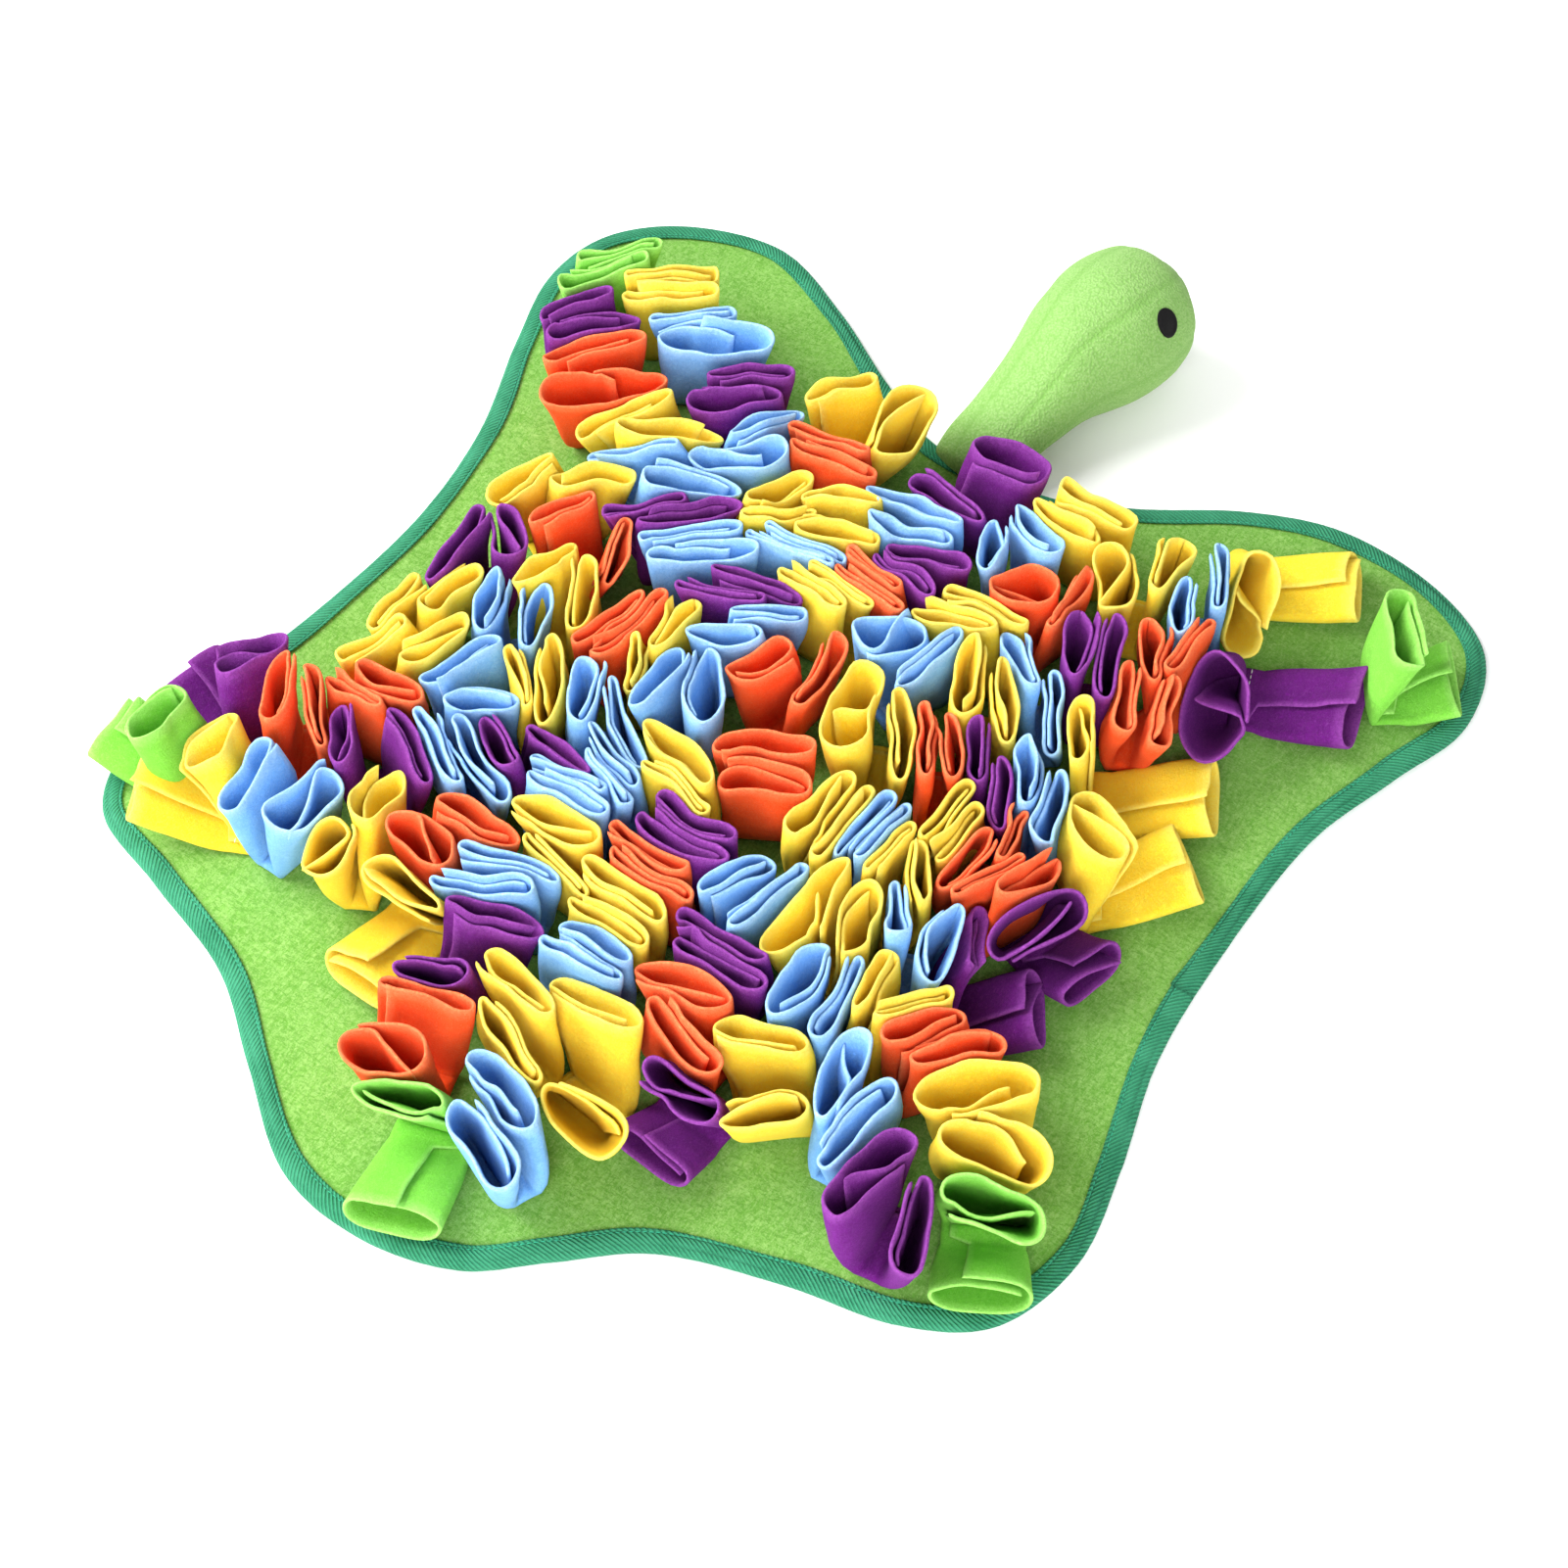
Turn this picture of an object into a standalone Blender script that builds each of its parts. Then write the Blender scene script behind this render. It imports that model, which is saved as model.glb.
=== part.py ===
"""Turtle-shaped snuffle mat: a lobed felt mat bound with tape, a stuffed head, and felt pockets.

X runs across the mat, +Y toward the head and +Z up, in metres. The origin is on the floor,
under the middle of the part's box.
Each pocket is one felt rectangle, rolled into a flat tube and sewn to the mat across its
middle, so that its two halves stand up as a pair of open cups, or lie down at a lobe's edge.
"""

import math

import bmesh
import bpy
import numpy as np
from mathutils import Matrix, Vector
from mathutils.bvhtree import BVHTree

MM = 0.001
GAP = 0.3

# The middle of the whole part's box, measured from where the sizes below start, in mm
CENTRE = (-0.49, -24.24)

# The mat and its binding, in mm
TAPE = 1.0
MAT_THICK = 4.0
MAT_BOTTOM = TAPE + GAP
MAT_TOP = MAT_BOTTOM + MAT_THICK
BINDING_WIDTH = 12.0
OUTLINE_STEP = 29.0

# Where the mat's edge runs, clockwise from the tail's tip, in mm
OUTLINE = [
    (0, -407), (-55, -399), (-109, -361), (-160, -324), (-225, -301), (-280, -280),
    (-299, -232), (-285, -180), (-272, -110), (-266, -20), (-277, 58), (-303, 130),
    (-320, 190), (-310, 240), (-270, 276), (-210, 290), (-150, 265), (-94, 231),
    (-40, 204), (35, 206), (85, 228), (140, 262), (195, 280), (258, 272),
    (305, 243), (319, 190), (302, 135), (283, 70), (279, -20), (283, -95),
    (299, -160), (308, -218), (292, -270), (250, -297), (192, -310), (130, -331),
    (88, -365), (52, -394),
]

# The felt pockets, in mm
FELT = 2.0
LAYER_GAP = 0.6
STRIP_WIDTH = 165.0
FLATTEST = FELT + LAYER_GAP
THIN = FLATTEST + FELT / 2
OPEN_CUP = 15.0
TWISTED = 8.0
ROOT_REACH = 18.0
ROOT_OFFSET = 7.0
ROOT_Z = MAT_TOP + GAP + THIN / math.sqrt(2)
ROOT_CAPSULE = (12.5, 9.6)
WALL_LENGTH = 56.0
MOST_LEAN = 44.0
MOST_MITER = 1.5
LYING_LENGTHS = (42.0, 66.0)
LYING_LIFT = 6.2
LYING_RADIUS = 8.0
LYING_SPOTS = (0.38, 0.5, 0.62)
SPREAD = 30.0
MOUTH = ("x", "y", "turn", "long", "gape")
ENDS = np.array([-1.0, 0.0, 1.0])

# Neighbouring pockets share a narrow strip of felt under their roots, in mm
STRIP = (8.0, 1.0)
STRIP_Z = MAT_TOP + GAP + 0.8
LONGEST_STRIP = 95.0
UNLIKE = 30.0
MOST_JOINED = 4
POCKET_NODES = 54
ALONE = "T12 H11 R3 C5 C15 L3 D7 B8 H5 R9 C27 B6".split()

# One row per pocket. For each half: where its mouth's middle is, the direction of the mouth's
# long side in degrees, how long it is and how far it gapes. The second half of a pocket
# named in LYING lies down, and one in RAISED lies on its neighbour, so many mm higher.
COLUMNS = "name colour ax ay aturn along agape bx by bturn blong bgape"
POCKETS = """
T1 green -257 166 55 62 10 -256 183 45 54 9
T2 purple -233 123 51 61 18 -254 134 54 52 9
T3 yellow -213 176 35 60 12 -221 189 37 57 9
T4 blue -169 157 32 66 26 -192 166 40 50 10
T5 purple -134 125 55 59 19 -134 144 41 52 11
T6 orange -199 89 40 76 20 -227 112 47 62 16
T7 yellow -145 80 32 60 20 -181 80 61 62 12
T8 blue -106 88 48 62 22 -105 115 39 52 11
T9 blue -116 55 26 58 18 -154 61 51 58 10
T10 purple -103 43 40 58 14 -127 26 54 50 9
T11 orange -60 116 6 56 13 -69 134 26 50 9
T12 yellow -44 158 102 55 26 -85 168 36 50 11
T13 yellow -165 28 26 52 22 -199 6 77 54 11
T14 purple -183 -30 129 38 24 -200 -54 92 57 10
T15 orange -174 4 72 44 16 -128 -6 118 50 9
T16 yellow -148 -42 84 46 14 -116 -43 108 50 16
T17 yellow -72 76 55 48 15 -56 57 43 48 10
T18 yellow -29 69 1 48 14 -39 94 0 48 10
T19 blue -78 16 32 64 18 -93 26 45 60 9
T20 blue -37 43 13 58 10 -38 57 11 55 9
T21 purple -45 18 12 55 12 -58 2 40 51 9
H1 blue -2 110 169 62 13 5 90 3 52 11
H2 purple 24 174 12 48 20 12 126 166 56 15
H3 blue 67 136 158 46 15 52 108 118 42 12
H4 yellow 77 152 168 50 10 85 172 0 52 10
H5 yellow 119 130 122 48 25 140 158 98 44 13
H6 orange 75 92 30 42 29 109 102 103 46 11
H7 purple 25 86 8 52 13 20 61 179 50 10
H8 orange 8 47 4 50 9 2 60 168 48 9
H9 yellow -15 32 13 52 14 -5 45 180 50 9
H10 yellow 64 56 5 50 14 72 70 169 50 9
H11 blue 37 30 39 39 32 66 26 113 50 10
R1 blue 162 136 140 40 12 170 168 150 42 11
R2 yellow 186 161 102 68 30 232 227 107 50 10
R3 purple 198 92 117 70 33 264 181 129 56 9
R4 green 273 188 130 60 15 298 205 130 50 9
R5 orange 162 94 118 46 11 180 108 106 48 10
R6 orange 168 62 113 44 12 192 74 116 46 9
R7 purple 125 75 119 46 16 150 76 112 56 13
R8 yellow 154 32 120 46 18 233 42 103 50 10
R9 yellow 195 -19 145 49 29 246 -16 108 50 10
C1 yellow 88 28 118 54 16 114 18 132 52 16
C2 blue 106 58 158 42 10 140 36 128 54 11
C3 orange -19 -27 68 42 21 21 -16 104 50 11
C4 orange 23 -76 14 55 22 35 -97 19 52 28
C5 yellow 46 -26 116 66 32 82 -27 121 60 15
C6 orange 93 -26 121 54 10 108 -21 130 50 11
C7 purple 122 -17 111 48 12 149 -30 104 46 13
C8 blue 143 -13 163 46 13 168 -24 103 54 13
C9 yellow 66 -90 82 56 18 84 -94 80 56 9
C10 blue 94 -89 74 52 10 107 -90 76 50 9
C11 yellow 117 -91 78 48 10 133 -92 87 44 14
C12 yellow 126 -56 74 42 11 142 -70 66 42 11
C13 orange 147 -80 58 46 15 163 -52 93 44 10
C14 orange 182 -74 81 48 15 167 -82 93 48 9
C15 yellow 102 -146 69 68 24 131 -139 75 52 23
C16 blue 55 -153 54 46 17 80 -156 83 58 11
C17 blue 136 -122 122 44 12 172 -130 108 48 15
C18 purple 172 -101 130 46 14 224 -116 114 46 22
C19 purple 196 -87 94 55 28 228 -68 74 46 20
C20 orange -98 -49 82 52 11 -75 -48 82 62 10
C21 yellow -66 -36 120 42 16 -74 -64 140 42 10
C22 blue -50 -70 116 50 17 -30 -56 128 56 15
C23 blue -35 -22 60 44 15 -28 1 171 44 13
C24 yellow -13 -109 167 58 18 -2 -130 1 50 9
C25 blue -83 -103 116 50 20 -50 -106 137 58 12
C26 blue -42 -128 169 44 12 -36 -143 163 44 9
C27 yellow -98 -104 126 60 18 -120 -116 131 46 12
C28 blue -134 -76 130 46 14 -162 -78 96 44 12
C29 blue -145 -118 77 50 24 -113 -134 171 44 20
C30 purple -104 -148 150 42 15 -66 -142 150 50 12
C31 blue -126 -168 149 55 12 -100 -167 155 60 14
C32 blue -47 -162 5 51 13 -55 -149 13 48 9
C33 yellow -42 -171 172 57 21 -29 -191 178 50 9
C34 purple 18 -135 3 57 14 26 -154 177 58 15
C35 orange 9 -162 175 54 13 20 -177 179 54 10
C36 yellow 13 -190 168 58 15 16 -215 175 53 14
C37 purple 71 -184 176 60 10 82 -202 176 58 12
C38 yellow -188 -80 72 44 18 -206 -104 92 46 9
C39 yellow -168 -112 56 46 20 -198 -134 76 44 10
L1 green -262 -238 102 46 21 -299 -245 106 46 9
L2 purple -250 -175 68 44 24 -302 -193 77 40 12
L3 yellow -230 -236 116 48 24 -256 -281 128 46 10
L4 orange -222 -189 116 52 16 -193 -189 136 52 9
L5 blue -195 -245 110 54 14 -157 -236 56 50 28
L6 orange -166 -154 8 44 18 -184 -170 12 44 9
L7 purple -170 -200 124 46 18 -136 -182 140 52 14
L8 yellow -126 -212 68 48 24 -133 -259 121 38 27
L9 yellow -83 -254 6 54 17 -110 -295 156 48 9
L10 orange -96 -228 168 44 22 -75 -197 15 52 19
L11 blue -51 -230 26 56 13 -44 -209 23 56 13
L12 purple -33 -237 11 52 18 -41 -287 16 46 17
B1 blue 20 -226 168 50 13 19 -243 5 54 10
B2 yellow 4 -264 177 54 16 20 -299 160 54 13
B3 yellow 40 -252 166 58 18 74 -311 170 51 21
B4 orange -31 -338 21 50 24 -31 -301 15 58 12
B5 green -9 -352 11 54 18 -5 -401 173 52 9
B6 blue 34 -322 157 60 18 42 -352 150 52 20
B7 orange 74 -225 3 54 20 90 -245 171 58 21
B8 purple 112 -266 170 50 24 122 -292 26 50 10
D1 blue 121 -188 92 54 17 142 -186 97 54 11
D2 yellow 150 -168 82 46 12 178 -172 72 48 10
D3 yellow 124 -224 158 48 19 152 -256 107 44 12
D4 orange 182 -174 42 52 21 209 -181 40 56 14
D5 blue 164 -225 81 52 22 188 -241 71 58 18
D6 yellow 225 -188 6 62 25 253 -214 3 60 26
D7 purple 204 -258 110 62 24 244 -272 113 54 14
D8 green 270 -243 6 56 24 300 -257 59 52 9
"""
LYING = "L1 L2 L3 L9 B5 B8 R2 R3 R4 R8 R9 C18 C19 D8".split()
RAISED = {"L3": 9.0}

# How the crowded felt is pushed apart
LEVELS = (0.15, 0.4, 0.7, 1.0)
ROUNDS = 320
NEARBY = 75.0
SLACK = 0.9
PULL = 0.05
EASE = 0.6
SQUEEZE = 0.12
FOLLOW = 0.05
MOST_TWIST = 20.0
MOST_TURN = 30.0

# The stuffed head and neck: middle of each section, half its width and half its height
HEAD_COLUMNS = "x y z half_width half_height"
HEAD = [
    (-11, 187, 14, 25, 7), (-9, 200, 19.2, 27, 12), (-6, 220, 24.5, 27, 17.8),
    (-2, 243, 30, 29, 26), (3, 265, 39.5, 33, 34), (8, 287, 43, 40.4, 41),
    (12.5, 304, 44.3, 44.6, 43.8), (15.5, 318, 44.5, 45, 44), (18.5, 332, 44.3, 42.8, 42.5),
    (21.3, 345, 44, 37, 37.5), (23.3, 355, 45, 24, 24),
]
HEAD_RING = 20
SEAM_SINK = 0.965
EYE = (7.5, 9.5, 1.2)
EYE_SECTION = 7
EYE_ANGLE = 22.5
EYE_CLEAR = {"eye_right": 0.7, "eye_left": -0.3}
HEAD_ROLL = 14.5

COLOURS = {
    "mat_felt": "9BD35F", "binding_tape": "2F9F74", "head_fleece": "A8DC7C",
    "eye_black": "151315", "yellow": "FFE135", "orange": "FF5722",
    "blue": "8FC4F2", "purple": "7A2490", "green": "8DD65B",
}


def clear_scene():
    for obj in list(bpy.data.objects):
        bpy.data.objects.remove(obj)


def linear(hex_colour):
    """An sRGB hex colour as Blender's linear RGBA."""
    parts = [int(hex_colour[i : i + 2], 16) / 255 for i in (0, 2, 4)]
    return [((c + 0.055) / 1.055) ** 2.4 if c > 0.04 else c / 12.92 for c in parts] + [1]


def cloth(name, roughness=0.95):
    """The material of this name, made once."""
    found = bpy.data.materials.get(name)
    if found:
        return found
    made = bpy.data.materials.new(name)
    made.use_nodes = True
    shader = made.node_tree.nodes["Principled BSDF"]
    shader.inputs["Base Color"].default_value = linear(COLOURS[name])
    shader.inputs["Roughness"].default_value = roughness
    return made


def add_object(name, mesh, material):
    obj = bpy.data.objects.new(name, mesh)
    obj.location = Vector((-CENTRE[0], -CENTRE[1], 0)) * MM
    mesh.materials.clear()
    mesh.materials.append(material)
    bpy.data.collections["snuffle_mat"].objects.link(obj)
    return obj


def mesh_of(name, points, faces):
    """A mesh of points in mm, whose faces all turn the same way, set to face outward."""
    shape = bmesh.new()
    corners = [shape.verts.new(Vector(p) * MM) for p in points]
    for face in faces:
        shape.faces.new([corners[i] for i in face])
    if shape.calc_volume(signed=True) < 0:
        bmesh.ops.reverse_faces(shape, faces=shape.faces)
    mesh = bpy.data.meshes.new(name)
    shape.to_mesh(mesh)
    shape.free()
    return mesh


def loft(rings, lead=(0, 0, 1), closed_along=False):
    """Points and faces through closed rings of equal length, capped unless the rings close up.

    Every four-sided face is split along the diagonal that climbs along lead, so that the
    layers of a folded sheet stay apart where it twists.
    """
    count = len(rings[0])
    points = [p for ring in rings for p in ring]
    faces = []
    for i in range(len(rings) - (not closed_along)):
        here = i * count
        after = (i + 1) % len(rings) * count
        reach = [float(np.dot(p, lead)) for p in rings[i]]
        for j in range(count):
            k = (j + 1) % count
            if reach[k] > reach[j]:
                faces.append((here + j, here + k, after + k))
                faces.append((here + j, after + k, after + j))
            else:
                faces.append((here + j, here + k, after + j))
                faces.append((here + k, after + k, after + j))
    if not closed_along:
        faces.append(tuple(reversed(range(count))))
        faces.append(tuple(range(len(points) - count, len(points))))
    return points, faces


# ---- the mat and its binding ----


def edge_points():
    """Evenly spaced points along the smooth closed curve through OUTLINE, in mm."""
    knots = np.array(OUTLINE, float)
    fine = []
    for i in range(len(knots)):
        a, b, c, d = (knots[(i + k) % len(knots)] for k in (-1, 0, 1, 2))
        for t in np.linspace(0, 1, 12, endpoint=False):
            fine.append(
                0.5 * (2 * b + (c - a) * t + (2 * a - 5 * b + 4 * c - d) * t**2
                       + (3 * b - a - 3 * c + d) * t**3)
            )
    fine = np.array(fine + fine[:1])
    run = np.r_[0, np.cumsum(np.hypot(*np.diff(fine, axis=0).T))]
    at = np.linspace(0, run[-1], round(run[-1] / OUTLINE_STEP), endpoint=False)
    return np.column_stack([np.interp(at, run, fine[:, k]) for k in (0, 1)])


def outward(edge):
    """The outward unit normal at each point of a clockwise closed edge."""
    along = np.roll(edge, -1, axis=0) - np.roll(edge, 1, axis=0)
    along /= np.hypot(*along.T)[:, None]
    return np.column_stack([-along[:, 1], along[:, 0]])


def make_mat(edge):
    """The felt mat, a flat sheet that ends just inside the binding's fold."""
    inner = edge - outward(edge) * (TAPE + GAP)
    rings = [[(x, y, z) for x, y in inner] for z in (MAT_BOTTOM, MAT_TOP)]
    add_object("mat", mesh_of("mat", *loft(rings)), cloth("mat_felt"))


def make_binding(edge):
    """Tape folded round the edge: a U with one leg under the mat and one on it."""
    high = MAT_TOP + GAP + TAPE
    section = [
        (0, 0), (0, high), (BINDING_WIDTH, high), (BINDING_WIDTH, high - TAPE),
        (TAPE, high - TAPE), (TAPE, TAPE), (BINDING_WIDTH, TAPE), (BINDING_WIDTH, 0),
    ]
    normal = outward(edge)
    rings = [[(*(p - n * inset), z) for inset, z in section] for p, n in zip(edge, normal)]
    mesh = mesh_of("edge_binding", *loft(rings, closed_along=True))
    add_object("edge_binding", mesh, cloth("binding_tape"))


# ---- the stuffed head ----


def head_ring(row, lead):
    """One section of the head, square to its middle line, with seams drawn in at top and sides."""
    x, y, z, wide, high = row
    side = np.array([lead[1], -lead[0]]) / math.hypot(*lead)
    ring = []
    for i in range(HEAD_RING):
        turn = 2 * math.pi * i / HEAD_RING
        sink = SEAM_SINK if i % (HEAD_RING // 4) == 0 else 1
        across = wide * math.cos(turn) * sink
        ring.append((x + side[0] * across, y + side[1] * across,
                     max(z + high * math.sin(turn) * sink, 0)))
    return ring


def make_head():
    rows = np.array(HEAD, float)
    leads = np.gradient(rows[:, :2], axis=0)
    rings = [head_ring(row, lead) for row, lead in zip(rows, leads)]
    add_object("head", mesh_of("head", *loft(rings)), cloth("head_fleece"))
    for name, sign in (("eye_right", 1), ("eye_left", -1)):
        make_eye(name, rows[EYE_SECTION], leads[EYE_SECTION], sign)


def make_eye(name, row, lead, sign):
    """A thin oval patch on the side of the head, just clear of it. The head rolls to its left."""
    x, y, z, wide, high = row
    side = Vector((lead[1], -lead[0], 0)).normalized() * sign
    turn = math.radians(EYE_ANGLE + HEAD_ROLL * sign)
    out = (side * math.cos(turn) / wide + Vector((0, 0, math.sin(turn) / high))).normalized()
    at = Vector((x, y, z)) + side * wide * math.cos(turn) + Vector((0, 0, high * math.sin(turn)))
    shape = bmesh.new()
    bmesh.ops.create_cone(
        shape, cap_ends=True, segments=16, radius1=1, radius2=0.9, depth=1,
        matrix=Matrix.Diagonal((EYE[0], EYE[1], EYE[2], 1)),
    )
    place = Matrix.Translation(at + out * (EYE[2] / 2 + EYE_CLEAR[name]))
    turned = out.to_track_quat("Z", "Y").to_matrix().to_4x4()
    bmesh.ops.transform(shape, matrix=Matrix.Scale(MM, 4) @ place @ turned, verts=shape.verts)
    mesh = bpy.data.meshes.new(name)
    shape.to_mesh(mesh)
    shape.free()
    add_object(name, mesh, cloth("eye_black", 0.4))


# ---- the felt pockets ----


def along(degrees):
    return np.array([math.cos(math.radians(degrees)), math.sin(math.radians(degrees))])


class Half:
    """One half of a pocket: where its mouth is, which way it runs and how far it gapes."""

    def __init__(self, x, y, turn, long, gape, lies):
        self.middle = np.array([x, y])
        self.turn = turn
        self.radius = max(gape / 2, LYING_RADIUS if lies else FLATTEST + FELT / 2)
        self.reach = max(long / 2 - self.radius, 3.0)
        self.lies = lies
        self.line = self.middle + ENDS[:, None] * self.reach * along(turn)


class Pocket:
    def __init__(self, row):
        values = dict(zip(COLUMNS.split(), row.split()))
        self.name = values["name"]
        self.colour = values["colour"]
        a = [float(values["a" + part]) for part in MOUTH]
        b = [float(values["b" + part]) for part in MOUTH]
        self.halves = [Half(*a, False), Half(*b, self.name in LYING)]
        self.place_seam()

    def place_seam(self):
        """The seam's middle and direction: square to the way the halves part, and like them."""
        one, two = self.halves
        split = one.middle - two.middle
        if two.lies:
            self.turn = two.turn
            out = along(two.turn + 90)
            out *= np.sign(out @ -split)
            self.lying = min(max(-split @ out + 12, LYING_LENGTHS[0]), LYING_LENGTHS[1])
            self.seam = two.middle - out * self.lying
        else:
            square = math.degrees(math.atan2(split[1], split[0])) + 90
            lean = along(2 * one.turn) + along(2 * two.turn)
            lean += along(2 * square) * np.hypot(*split) / SPREAD
            self.turn = math.degrees(math.atan2(lean[1], lean[0])) / 2
            self.seam = (one.middle + two.middle) / 2
        across = along(self.turn + 90)
        sign = np.sign(across @ split) or 1.0
        self.signs = (sign, -sign)

    def stations(self):
        """How many points go round the felt: few where it is flat, more where it gapes or twists."""
        if max(h.radius for h in self.halves) <= OPEN_CUP / 2:
            return 6
        leads = [h.line[-1] - h.line[0] for h in self.halves if not h.lies]
        across = [abs(along(self.turn + 90) @ lead) / np.hypot(*lead) for lead in leads]
        return 10 if max(across) > math.sin(math.radians(TWISTED)) else 8

    def out(self, half):
        """The level direction in which a half leaves the seam."""
        return along(self.turn + 90) * self.signs[self.halves.index(half)]

    def root(self, half):
        """The ends and middle of the line where a half turns up from the seam."""
        return self.seam + self.out(half) * ROOT_OFFSET + ENDS[:, None] * ROOT_REACH * along(self.turn)


def nearest(a, b, c, d):
    """For segments a-b and c-d, row by row: the closest point's share along each, and the offset."""
    best = np.full(len(a), 1e9)
    share_one = np.zeros(len(a))
    share_two = np.zeros(len(a))
    offset = np.zeros_like(a)

    def shares(point, start, end):
        run = end - start
        share = ((point - start) * run).sum(axis=1) / ((run**2).sum(axis=1) + 1e-9)
        return np.clip(share, 0, 1)

    for point, at in ((a, 0.0), (b, 1.0)):
        share = shares(point, c, d)
        gap = point - (c + (d - c) * share[:, None])
        far = np.hypot(gap[:, 0], gap[:, 1])
        closer = far < best
        best[closer] = far[closer]
        share_one[closer] = at
        share_two[closer] = share[closer]
        offset[closer] = gap[closer]
    for point, at in ((c, 0.0), (d, 1.0)):
        share = shares(point, a, b)
        gap = a + (b - a) * share[:, None] - point
        far = np.hypot(gap[:, 0], gap[:, 1])
        closer = far < best
        best[closer] = far[closer]
        share_one[closer] = share[closer]
        share_two[closer] = at
        offset[closer] = gap[closer]

    def turns_left(p, q, r):
        one = q - p
        two = r - p
        return one[:, 0] * two[:, 1] - one[:, 1] * two[:, 0] > 0

    crossed = (turns_left(a, b, c) != turns_left(a, b, d)) & (
        turns_left(c, d, a) != turns_left(c, d, b)
    )
    between = (a + b - c - d)[crossed]
    offset[crossed] = between / (np.hypot(between[:, 0], between[:, 1])[:, None] + 1e-6)
    best[crossed] = -best[crossed]
    return share_one, share_two, offset, best


def parted(lines, radii, owner, other_owner=None):
    """The shove on each point of each line so that the lines, thick as radii, stop overlapping.

    Also how deep each line's worst overlap is."""
    count, points = lines.shape[:2]
    starts = lines[:, :-1].reshape(-1, 2)
    ends = lines[:, 1:].reshape(-1, 2)
    line = np.repeat(np.arange(count), points - 1)
    spot = np.tile(np.arange(points - 1), count)
    middle = (starts + ends) / 2
    far = np.hypot(*(middle[:, None] - middle[None]).transpose(2, 0, 1))
    near = (far < NEARBY) & (owner[line][:, None] < owner[line][None])
    i, j = np.nonzero(near)
    one, two, offset, distance = nearest(starts[i], ends[i], starts[j], ends[j])
    depth = radii[line[i]] + radii[line[j]] + SLACK - distance
    centres = lines.mean(axis=1)
    crossed = distance < 0
    offset[crossed] = (centres[line[i]] - centres[line[j]])[crossed]
    hit = depth > 0
    i, j, one, two, depth = i[hit], j[hit], one[hit], two[hit], depth[hit]
    way = offset[hit] / (np.hypot(*offset[hit].T)[:, None] + 1e-6)
    push = way * depth[:, None] / 2
    shove = np.zeros_like(lines)
    hits = np.full(count, 1e-9)
    for index, share, sign in ((i, one, 1), (j, two, -1)):
        np.add.at(shove, (line[index], spot[index]), push * sign * (1 - share)[:, None])
        np.add.at(shove, (line[index], spot[index] + 1), push * sign * share[:, None])
    worst = np.zeros(count)
    np.maximum.at(worst, line[i], depth)
    np.maximum.at(worst, line[j], depth)
    return shove, worst


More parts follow.
